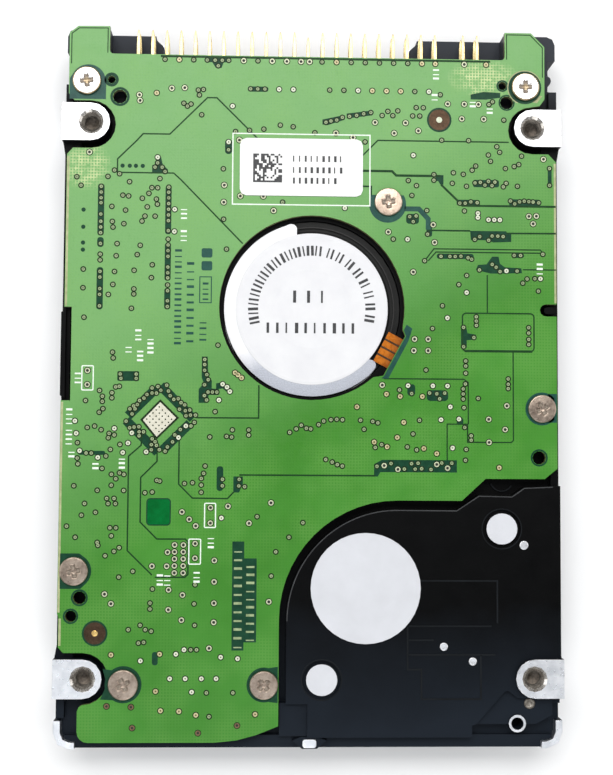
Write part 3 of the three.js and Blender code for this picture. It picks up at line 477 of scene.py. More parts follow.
def add_lathe(bm, x, y, profile, sides, closed=False):
    """Turns a profile of (radius, height) points about Z; a radius of 0 closes to a point."""
    rows = []
    for r, z in profile:
        if r == 0:
            rows.append([bm.verts.new((x, y, z))])
        else:
            rows.append([bm.verts.new((px, py, z)) for px, py in circle(x, y, r, sides)])
    pairs = list(zip(rows, rows[1:])) + ([(rows[-1], rows[0])] if closed else [])
    for a, b in pairs:
        for i in range(sides):
            j = (i + 1) % sides
            corners = [a[i % len(a)], a[j % len(a)], b[j % len(b)], b[i % len(b)]]
            unique = list(dict.fromkeys(corners))
            if len(unique) > 2:
                bm.faces.new(unique)


def add_line(bm, points, width, low, high, closed=False):
    """A mitred strip of constant width along a path."""
    count = len(points)
    vectors = [Vector(p) for p in points]
    left, right = [], []
    for i, at in enumerate(vectors):
        before = vectors[i - 1] if (i > 0 or closed) else None
        after = vectors[(i + 1) % count] if (i < count - 1 or closed) else None
        sides = []
        for a, b in ((before, at), (at, after)):
            if a is not None and b is not None and (b - a).length > 1e-9:
                along = (b - a).normalized()
                sides.append(Vector((-along.y, along.x)))
        normal = sum(sides, Vector((0, 0))).normalized()
        reach = width / 2 / max(0.4, normal.dot(sides[0]))
        left.append(at + normal * reach)
        right.append(at - normal * reach)
    rows = [
        [bm.verts.new((p.x, p.y, z)) for p in side]
        for side, z in ((left, low), (right, low), (right, high), (left, high))
    ]
    for a, b in zip(rows, rows[1:] + rows[:1]):
        for i in range(count if closed else count - 1):
            j = (i + 1) % count
            bm.faces.new((a[i], a[j], b[j], b[i]))
    if not closed:
        for i in (0, count - 1):
            bm.faces.new([row[i] for row in rows])


def box_outline(x0, y0, x1, y1, r=0.0, steps=4):
    """A rectangle between two corners, with its own corners rounded by r."""
    if not r:
        return [(x0, y0), (x1, y0), (x1, y1), (x0, y1)]
    points = []
    for cx, cy, start in (
        (x1 - r, y0 + r, -90),
        (x1 - r, y1 - r, 0),
        (x0 + r, y1 - r, 90),
        (x0 + r, y0 + r, 180),
    ):
        points += arc(cx, cy, r, start, start + 90, steps)
    return points


# ---------------------------------------------------------------- carried-over CAD nodes
def dress(look, *names):
    """Gives CAD nodes a better material."""
    for name in names:
        nodes[name].data.materials.clear()
        nodes[name].data.materials.append(look)


dress(FLANGE_COAT, "motor_flange")
dress(COVER, "top_cover")
dress(LABEL, "cover_label", "board_label")
dress(GREY_SEAL, "pivot_seal", "access_seal_1", "access_seal_2")
dress(RUBBER, "cover_gasket", "crash_stop")
dress(BOARD, "circuit_board")
dress(CHIP, "controller_chip", "buffer_memory_chip")
dress(PLASTIC, "connector_housing", "flex_connector", "inertial_latch")
dress(STEEL, "stator_core", "yoke_upper", "yoke_lower", "disk_clamp", "clamp_screw", "pivot_screw")
dress(STEEL, *[f"cover_screw_{i}" for i in range(1, 7)])
dress(BRIGHT_SCREW, "spindle_shaft", "pivot_shaft", "pivot_bearing")
dress(WIRE, "stator_coils", "voice_coil")
dress(BRASS, "bearing_sleeve")
dress(MACHINED, "rotor_hub", "actuator_arm", "flex_bracket")
dress(MAGNET, "rotor_magnet", "magnet_upper", "magnet_lower")
dress(MIRROR, "platter")
dress(AMBER, "flex_circuit")
dress(RAMP, "load_ramp")
dress(FELT, "recirculation_filter", "breather_filter")
dress(SPRING, "suspension_upper", "suspension_lower")
dress(CERAMIC, "head_slider_upper", "head_slider_lower")


# ---------------------------------------------------------------- base casting
HOLE_X = 30.86
HOLE_ROWS = (36.1, -40.5)
BOSS_TOP = 9.5
BORE_FLOOR = 6.5
SIDE_X = 34.925
BUMPER_X, BUMPER_Y, BUMPER_Z = 31.9, -46.4, 7.2  # the rubbed corner blocks lie outside these
DOWEL = (28.6, -46.7)
PLUG = (30.35, -44.0)
HOLES = [(side * HOLE_X, y) for y in HOLE_ROWS for side in (-1, 1)]
# The last material index is painted shade on the bore floors.
COATED, BARE, CUT, BORE_SHADE = range(4)  # material indices of the casting


def break_edges(made, width_mm, segments):
    """Rounds the edges of a piece."""
    bevel = made.modifiers.new("edges", "BEVEL")
    bevel.width = width_mm * MM
    bevel.segments = segments
    return bevel


def finish_of(face):
    """The finish of a face of the casting: bare where it is machined or rubbed, painted shade on the bore
    floors, black elsewhere.
    """
    at = face.calc_center_median()
    place = (at.x, at.y)
    normal = face.normal
    upward = normal.z > 0.9
    hole = min(math.dist(place, centre) for centre in HOLES)
    if at.z > BOSS_TOP - 0.02 and upward:
        return BARE
    if hole < 1.7 and at.z > BORE_FLOOR - 0.2 and abs(normal.z) < 0.98:
        return CUT
    if hole < 1.3 and abs(at.z - BORE_FLOOR) < 0.2:
        return BORE_SHADE
    if abs(at.x) > BUMPER_X and at.y < BUMPER_Y and at.z > BUMPER_Z:
        return BARE
    if math.dist(place, DOWEL) < 1.25 and at.z > 8.5 and upward:
        return BARE
    if math.dist(place, PLUG) < 0.85 and at.z > 6.2 and not upward:
        return CUT
    if abs(abs(at.x) - SIDE_X) < 0.02 and abs(normal.x) > 0.9:
        return BARE
    return COATED


# The CAD casting with its edges broken.
bm = bmesh.new()
bm.from_mesh(nodes["base_casting"].data)
bmesh.ops.scale(bm, vec=(1 / MM,) * 3, verts=bm.verts)
bmesh.ops.remove_doubles(bm, verts=bm.verts, dist=0.002)
bmesh.ops.dissolve_limit(bm, angle_limit=math.radians(1.5), verts=bm.verts, edges=bm.edges)
bm.normal_update()
for face in bm.faces:
    face.material_index = finish_of(face)
casting_looks = [COAT, MACHINED, CHAMFER, HOLE_SHADE]
casting = piece("casting_body", bm, casting_looks, "black_coat", ["base_casting"])
casting_edges = break_edges(casting, 0.1, 2)
casting_edges.limit_method = "ANGLE"
casting_edges.angle_limit = math.radians(40)
casting_edges.use_clamp_overlap = True

# A bare nub at the middle of the front edge, and a drilled plug beside the front right boss.
bm = bmesh.new()
add_prism(bm, box_outline(-1.05, -50.08, 1.05, -48.75, 0.45), 7.2, 8.42)
break_edges(piece("front_nub", bm, MACHINED, "bare_aluminium"), 0.18, 3)
bm = bmesh.new()
add_lathe(bm, *PLUG, [(0, 7.4), (0.76, 7.4), (0.76, 8.3), (0.5, 8.46), (0.3, 8.2), (0, 8.15)], 24)
piece("drilled_plug", bm, BORED, "bare_aluminium", smooth=True)

# Threads in the four tapped bosses: rings of a coarse saw profile down the bore, over a cone in painted
# shade.
THREAD_PITCH = 0.5
THREAD_LOW = 7.3
THREAD_TURNS = 4
for number, (x, y) in enumerate(HOLES, start=1):
    bm = bmesh.new()
    profile = [(0, 6.9), (1.2, 7.25)]
    for i in range(THREAD_TURNS):
        z = THREAD_LOW + THREAD_PITCH * i
        profile += [(1.24, z), (1.02, z + THREAD_PITCH / 2), (1.24, z + THREAD_PITCH * 0.96)]
    profile += [(1.245, THREAD_LOW + THREAD_PITCH * THREAD_TURNS), (1.245, 6.7), (0, 6.6)]
    add_lathe(bm, x, y, profile, 28)
    for face in bm.faces:
        face.material_index = int(face.calc_center_median().z < THREAD_LOW - 0.03)
    piece(f"thread_{number}", bm, [BORED, RECESS_SHADE], "bare_aluminium")


# ---------------------------------------------------------------- screws
HEAD_HEIGHT = 0.44
HEAD_SIDES = 72
HEAD_RINGS = 18
DOME = 0.14  # how much lower the rim is than the middle, as a share of the height
SINK = 0.6  # depth of the recess, as a share of the height
# The first of these indices marks faces deep in the cross recess, which carry painted shade.
CREVICE_SHADE, RIM = 1, 2  # material indices; 0 is the rest of the head


def cross_depth(x, y, radius):
    """Depth of a cross recess, 0 outside it and 1 on its floor, with sloping walls."""
    arm = 0.30 * radius
    reach = 0.44 * radius
    slope = 0.10 * radius

    def inside(value, limit):
        return max(0.0, min(1.0, (limit - abs(value)) / slope + 0.5))

    cross = max(
        inside(x, arm / 2) * inside(y, reach),
        inside(y, arm / 2) * inside(x, reach),
    )
    centre = max(0.0, 1.0 - math.hypot(x, y) / arm)
    return max(cross * 0.8, min(1.0, centre * 1.6))


def add_screw_head(bm, radius, turn):
    """A pan head as a polar grid, with a rolled edge and a cross recess in its top; painted shade lies deep
    in the recess.
    """
    rows = []
    edge = 0.22 * HEAD_HEIGHT
    for i in range(1, HEAD_RINGS + 1):
        r = (radius - edge) * i / HEAD_RINGS
        row = []
        for x, y in circle(0, 0, r, HEAD_SIDES):
            dx = x * math.cos(turn) + y * math.sin(turn)
            dy = -x * math.sin(turn) + y * math.cos(turn)
            lower = DOME * (r / radius) ** 3 + SINK * cross_depth(dx, dy, radius)
            row.append(bm.verts.new((x, y, HEAD_HEIGHT * (1 - lower))))
        rows.append(row)
    rim = HEAD_HEIGHT * (1 - DOME)
    for r, z in ((radius - edge * 0.35, rim - edge * 0.35), (radius, rim - edge * 1.1), (radius, -0.02)):
        rows.append([bm.verts.new((x, y, z)) for x, y in circle(0, 0, r, HEAD_SIDES)])
    middle = bm.verts.new((0, 0, HEAD_HEIGHT * (1 - SINK)))
    for k in range(HEAD_SIDES):
        j = (k + 1) % HEAD_SIDES
        bm.faces.new((middle, rows[0][k], rows[0][j])).material_index = RIM
        for i, (a, b) in enumerate(zip(rows, rows[1:])):
            face = bm.faces.new((a[k], b[k], b[j], a[j]))
            if i >= HEAD_RINGS - 2 or i < 3:
                face.material_index = RIM
            elif face.calc_center_median().z < HEAD_HEIGHT * 0.78:
                face.material_index = CREVICE_SHADE
    bm.faces.new(list(reversed(rows[-1]))).material_index = RIM


BOARD_SCREWS = [
    (-31.6, 41.95, 1.98, 0.1, BRIGHT_SCREW),
    (29.95, 42.05, 1.98, 0.0, BRIGHT_SCREW),
    (10.6, 25.4, 1.95, 0.1, CREAM_SCREW),
    (32.1, -3.4, 1.95, 0.5, WARM_SCREW),
    (-32.3, -26.0, 1.95, 0.2, WARM_SCREW),
    (-25.4, -41.3, 2.05, 0.5, WARM_SCREW),
    (-6.3, -41.35, 1.95, 0.7, WARM_SCREW),
]
for number, (x, y, radius, turn, look) in enumerate(BOARD_SCREWS, start=1):
    bright = look is BRIGHT_SCREW
    bm = bmesh.new()
    add_screw_head(bm, radius, turn)
    add_lathe(bm, 0, 0, [(0, -1.9), (0.8, -1.9), (0.8, 0.02), (0, 0.02)], 24)
    piece(
        f"board_screw_head_{number}",
        bm,
        [look, RECESS_SHADE, BRONZE_RIM if bright else look],
        "bright_screw" if bright else "bronze_screw",
        [f"board_screw_{number}"],
        at=(x, y, BOARD_TOP + 0.04),
        smooth=True,
    )

# ---------------------------------------------------------------- connector pins
PITCH = 2.0
PIN_HALF = 0.25
FIRST_PIN_X = -24.65
KEY_COLUMN = 12
COLUMNS = list(range(22)) + [23, 24]
PIN_ROWS = {"upper": 7.5, "lower": 5.5}
PIN_SECTIONS = [  # place along the pin, half width as a share of PIN_HALF, corner as a share of that
    (44.4, 1.0, 0.16),
    (47.8, 1.0, 0.16),
    (48.7, 0.84, 0.2),
    (49.4, 0.58, 0.22),
    (49.8, 0.32, 0.28),
    (49.9, 0.2, 0.3),
]


def add_pin(bm, x, z):
    """A square pin with broken edges and a blunt four-sided point."""
    rows = []
    for y, share, corner in PIN_SECTIONS:
        half = PIN_HALF * share
        outline = box_outline(-half, -half, half, half, half * corner, 1)
        rows.append([bm.verts.new((x + dx, y, z + dz)) for dx, dz in outline])
    for a, b in zip(rows, rows[1:]):
        for i in range(8):
            j = (i + 1) % 8
            bm.faces.new((a[i], a[j], b[j], b[i]))
    bm.faces.new(rows[0])
    bm.faces.new(list(reversed(rows[-1])))


for name, z in PIN_ROWS.items():
    bm = bmesh.new()
    for column in COLUMNS:
        if (name, column) != ("upper", KEY_COLUMN):
            add_pin(bm, FIRST_PIN_X + PITCH * column, z)
    low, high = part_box(f"connector_pins_{name}")
    tie_top = high.z / MM if name == "upper" else z + 0.15
    add_prism(bm, box_outline(low.x / MM, 44.25, high.x / MM, 44.6), z - 0.15, tie_top)
    piece(f"pins_{name}", bm, GOLD, "pin_gold", [f"connector_pins_{name}"])


# ---------------------------------------------------------------- layers on the board
def add_layer(bm, lift, outlines=(), lines=(), loops=()):
    """Flat shapes that stand lift above the board; lines and closed loops are (width, points) pairs."""
    for outline in outlines:
        add_prism(bm, outline, BOARD_LOW, BOARD_TOP + lift)
    for strokes, closed in ((lines, False), (loops, True)):
        for width, points in strokes:
            add_line(bm, points, width, BOARD_LOW, BOARD_TOP + lift, closed)


def board_layer(name, look, lift, slot="board_green", **shapes):
    bm = bmesh.new()
    add_layer(bm, lift, **shapes)
    return piece(name, bm, look, slot)


# ---------------------------------------------------------------- board: etched lines
LINE_LIFT = 0.012
LINES = [
    (0.2, [(-7.8, 34.2), (-8.3, 34.7), (-13.5, 39.85), (-14.8, 39.85), (-20, 34.6), (-23.7, 34.6),
           (-24.6, 33.6), (-27.2, 31.0), (-27.2, 29.1), (-19.4, 29.1), (-18.4, 28.2), (-9.7, 19.3)]),
    (0.2, [(7.0, 32.0), (9.1, 34.15), (27.6, 34.15)]),
    (0.34, [(7, 29.8), (11.1, 29.8), (11.7, 29.2), (17.9, 29.2)]),
    (0.3, [(18, 28), (20.5, 25.6), (21, 25.05), (34.2, 25.05)]),
    (0.24, [(7, 27.6), (8.2, 27.6), (8.2, 24.6)]),
    (0.24, [(16.2, 21.5), (22.1, 21.5)]),
    (0.24, [(27.2, 21.2), (34.2, 21.25)]),
    (0.18, [(15.7, 17.2), (17, 18.9), (32, 18.9), (32.4, 18.4)]),
    (0.18, [(16.2, 17.2), (17.3, 18.45), (32, 18.45)]),
    (0.18, [(29.5, 16.1), (34.2, 16.1)]),
    (0.18, [(24.5, 15.3), (24.5, 10)]),
    (0.18, [(28.1, 4.5), (28.1, -7.8), (27.8, -8.1), (21.7, -8.1), (21.7, -5.6), (18.85, -5.6),
            (18.85, -10.6)]),
    (0.18, [(10, 0.65), (21.2, 0.65), (21.8, 0.2), (21.8, -5.6)]),
    (0.2, [(-15.9, -4.95), (-7.3, -4.95), (-7.3, -0.4)]),
    (0.2, [(-23.3, -7.3), (-23.4, -8.8), (-25.1, -10.3), (-25.1, -23.2), (-21.7, -26.5)]),
    (0.2, [(-21.2, -9.8), (-21.2, -11), (-23.4, -13.2), (-23.4, -19.3), (-21.1, -21.6), (-17.2, -21.6),
           (-16.8, -22), (-16.8, -26.4), (-17.2, -26.8), (-21.3, -26.8)]),
    (0.2, [(-18.2, -8), (-18.2, -14.1), (-16.3, -16), (-11.5, -16.05), (-10.6, -15.1)]),
    (0.22, [(-9.9, -12.8), (8.9, -12.8)]),
    (0.3, [(-21.4, 45.65), (25.0, 45.65)]),
    (0.14, [(-33.8, 44.4), (-33.8, 48.68), (-32.78, 49.47), (-28.78, 49.52), (-28.78, 46.0)]),
    (0.14, [(27.33, 46.0), (27.33, 49.57), (30.68, 49.57), (32.42, 47.8), (32.42, 43.5)]),
]
bm = bmesh.new()
add_layer(bm, LINE_LIFT, lines=LINES, loops=[(0.2, box_outline(21.0, 4.6, 31.05, 9.9, 0.5, 3))])
add_layer(bm, LINE_LIFT + 0.002, lines=[(0.34, [(21.3, 4.6), (30.8, 4.6)])])
piece("etched_lines", bm, DARK_LINE, "board_green")

PATCHES = [
    [(-15.2, 45.6), (-15.2, 44.9), (-14.2, 44.9), (-13.7, 44.1), (-12.9, 44.1), (-12.6, 44.9), (-12, 44.9),
     (-12, 45.6)],
    box_outline(-9.2, 40.8, -6.3, 41.55, 0.35),
    [(1.3, 36.3), (1.3, 37.0), (4.0, 37.6), (4.5, 37.6), (4.4, 37.0), (2.0, 36.2)],
    [(4.7, 37.2), (4.7, 37.9), (8.3, 38.4), (8.3, 37.7)],
    [(22.2, 40.2), (22.2, 40.9), (24.0, 41.3), (26.4, 41.2), (26.4, 40.5), (24.4, 40.2)],
    [(17.2, 28.5), (17.2, 29.35), (18.35, 29.35), (18.35, 28.0), (17.9, 28.0), (17.6, 28.5)],
    box_outline(22.5, 27.7, 26.2, 28.75, 0.3),
    box_outline(20.2, 25.05, 23.5, 25.9, 0.3),
    box_outline(27.6, 25.05, 32.1, 26.05, 0.35),
    [(22.2, 20.2), (22.1, 21.5), (27.2, 21.5), (27.3, 21.2), (27.9, 21.2), (27.9, 20.0), (25.4, 19.9),
     (24.6, 20.2)],
    box_outline(17.4, 17.5, 22.6, 18.25, 0.35),
    [(22.9, 16.0), (23.2, 16.7), (24.4, 16.8), (25.2, 17.9), (26.1, 17.9), (26.3, 16.9), (27.0, 16.4),
     (29.3, 16.3), (29.4, 15.6), (25, 15.5)],
    box_outline(28.0, 17.75, 29.7, 18.4, 0.3),
    [(20.8, 5.0), (20.8, 8.1), (21.5, 8.1), (21.7, 7.1), (22.9, 6.9), (22.9, 6.2), (21.6, 6.1), (21.6, 5.0)],
    [(8.7, -12.9), (8.7, -11.2), (9.8, -10.6), (20.2, -10.6), (20.2, -12.3), (9.6, -12.3), (9.2, -12.9)],
    box_outline(16.0, -2.4, 19.0, -0.9, 0.5),
    box_outline(20.2, -5.7, 21.1, -4.7, 0.3),
    [(-22.4, 29.1), (-22.4, 30.2), (-21.9, 30.2), (-21.9, 31.4), (-21.2, 31.4), (-20.9, 30.2), (-20.2, 29.6),
     (-20.2, 29.1)],
    box_outline(33.1, 27.9, 33.65, 30.8, 0.25),
    box_outline(-12.3, 31.9, -11.3, 34.0, 0.45),
    box_outline(-13.0, -15.0, -12.1, -11.6, 0.4),
    box_outline(-21.55, -38.7, -20.75, -36.9, 0.35),
    box_outline(-26.8, 0.05, -23.8, 1.4, 0.2),
    box_outline(13.1, 22.4, 14.9, 23.8, 0.4),
    box_outline(15.95, 20.6, 16.75, 22.2, 0.3),
    [(-10.7, -15.2), (-10.7, -13.0), (-9.4, -13.0), (-9.4, -14.0), (-9.9, -15.2)],
    [(-15.6, -2.9), (-15.6, -1.0), (-14.9, -0.2), (-15.2, 0.6), (-15.2, 3.5), (-14.4, 3.5), (-14.3, 0.8),
     (-13.8, 0.2), (-13.8, -0.9), (-12.8, -1.0), (-12.8, -1.8), (-14.2, -1.8), (-14.4, -2.9)],
    [(-13.2, -1.0), (-13.2, -0.2), (-12.2, 0.0), (-10.8, -1.2), (-11.3, -1.7), (-12.3, -0.9)],
    box_outline(-29.85, 9.9, -28.95, 15.8, 0.4),
    box_outline(-29.85, 18.6, -28.95, 20.0, 0.4),
    box_outline(-29.85, 20.2, -28.95, 27.5, 0.4),
    box_outline(-20.5, 14.0, -19.65, 19.3, 0.35),
    box_outline(-20.5, 20.5, -19.65, 27.3, 0.35),
    box_outline(-20.5, 10.0, -19.65, 13.0, 0.35),
    box_outline(13.3, -1.7, 14.4, -0.1, 0.4),
    box_outline(-32.0, -10.15, -28.3, -9.6, 0.25),
]
bm = bmesh.new()
add_layer(bm, 0.010, PATCHES)
# A ragged ring of bare mask about the square heat pad.
PAD_MIDDLE = Vector((-20.95, -5.2))
for degrees, length in ((45, 6.4), (135, 5.4), (225, 6.2), (315, 5.2)):
    angle = math.radians(degrees)
    out = Vector((math.cos(angle), math.sin(angle)))
    half_side = Vector((-out.y, out.x)) * length / 2
    middle = PAD_MIDDLE + out * 3.35
    add_layer(bm, 0.009, lines=[(1.3, [middle - half_side, middle + half_side])])
piece("bare_mask_patches", bm, DARK_MASK, "board_green")

# Paler teal clearings about the screws and along the motor window.
TEAL_LIFT = 0.014
TEAL_OUTLINES = [
    [(-34.0, 39.4), (-28.95, 39.4), (-28.95, 42.3)] + arc(-31.4, 41.9, 2.4, 10, 150, 14) + [(-34.0, 42.3)],
    arc(10.5, 25.1, 2.6, 150, 390, 24),
    [(33.0, -1.3), (34.2, -1.3), (34.2, -5.3), (33.0, -5.3)],
    arc(32.1, -3.4, 2.3, 40, 320, 24),
    [(13.2, 8.2), (14.0, 7.65), (13.45, 5.95), (10.65, 0.68), (9.65, 0.68), (10.05, 1.0), (13.1, 6.58),
     (12.8, 7.45)],
]
TEAL_LINE = (0.7, [(12.9, 24.5), (14.9, 24.5), (16.2, 23.1), (16.2, 21.6)])
board_layer("teal_clearings", TEAL_MASK, TEAL_LIFT, outlines=TEAL_OUTLINES, lines=[TEAL_LINE])

CLEARINGS = [
    [(-34.2, -28.4), (-31.4, -28.4)] + arc(-32.3, -26.0, 2.35, -50, 60, 12)
    + [(-31.6, -23.6), (-34.2, -23.6)],
    circle(-25.4, -41.3, 2.5, 32),
    arc(-6.3, -41.35, 2.35, 75, 285, 20) + [(-4.4, -43.8), (-4.4, -38.9)],
    circle(29.9, 42.0, 2.35, 32),
]
UPPER_CLEARING = [(-28.2, -39.2), (-26.5, -39.4), (-26.5, -43.4), (-28.5, -43.3), (-27.6, -41.3)]
HOLE_CLEARINGS = [  # x, y, inner and outer radius
    (-28.2, 42.2, 0.56, 1.0),
    (-27.0, 39.8, 1.01, 1.35),
    (27.3, 39.8, 0.96, 1.15),
    (31.7, -10.2, 0.96, 1.2),
    (-31.5, -29.6, 0.91, 1.15),
    (-32.65, -32.1, 0.81, 1.05),
    (26.7, 42.2, 0.61, 0.85),
]
bm = bmesh.new()
add_layer(bm, TEAL_LIFT, CLEARINGS)
add_layer(bm, TEAL_LIFT + 0.002, [UPPER_CLEARING])
for x, y, hole, outer in HOLE_CLEARINGS:
    add_ring(bm, x, y, hole, outer, BOARD_LOW, BOARD_TOP + TEAL_LIFT, 24)
piece("green_clearings", bm, DARK_MASK, "board_green")
# Painted highlights: a pale glint line round the rear right screw's clearing, and a glint on the board's
# corner beside it.
bm = bmesh.new()
add_layer(bm, TEAL_LIFT + 0.002, lines=[(0.13, arc(29.9, 42.0, 2.42, 25, 245, 30))])
add_layer(bm, TEAL_LIFT, [[(30.95, 39.95), (31.9, 40.85), (32.4, 40.85), (31.6, 39.8)]])
piece("clearing_edge_glint", bm, LAMINATE_AND_GLINT, "board_green")

WINDOW = box_outline(-22.5, -19.7, -19.3, -16.1, 0.45)
board_layer("mask_window", EMERALD, 0.012, outlines=[WINDOW])
board_layer("mask_window_edge", DARK_MASK, 0.016, loops=[(0.16, WINDOW)])

# ---------------------------------------------------------------- board: heat pad, test pads
PAD = [(-20.85, -2.85), (-18.65, -5.0), (-21.3, -7.6), (-23.2, -5.3)]
board_layer("heat_pad_edge", VIA_RIM, 0.016, "black_plastic", loops=[(0.56, PAD)])
board_layer("heat_pad", CREAM_PAD, 0.02, "pin_gold", outlines=[PAD])

BEAD_TOP = BOARD_TOP + 0.05
BEAD = [(0, BOARD_LOW), (0.42, BOARD_LOW), (0.42, BOARD_TOP + 0.02), (0.25, BEAD_TOP), (0, BEAD_TOP)]
for name, x, y, look in (("rear", 17.75, 37.2, HOLE_WHITE), ("front", -29.35, -34.4, BRASS)):
    bm = bmesh.new()
    add_ring(bm, 0, 0, 1.5, 1.74, BOARD_LOW, BOARD_TOP + 0.02, 32)
    piece(f"probe_ring_{name}", bm, DARK_MASK, "board_green", at=(x, y, 0))
    bm = bmesh.new()
    add_ring(bm, 0, 0, 0.3, 1.5, BOARD_LOW, BOARD_TOP + 0.014, 32)
    piece(f"probe_pad_{name}", bm, BROWN_PAD, "copper_wire", at=(x, y, 0))
    bm = bmesh.new()
    add_lathe(bm, 0, 0, BEAD, 20)
    piece(f"probe_centre_{name}", bm, look, "pin_gold", at=(x, y, 0))
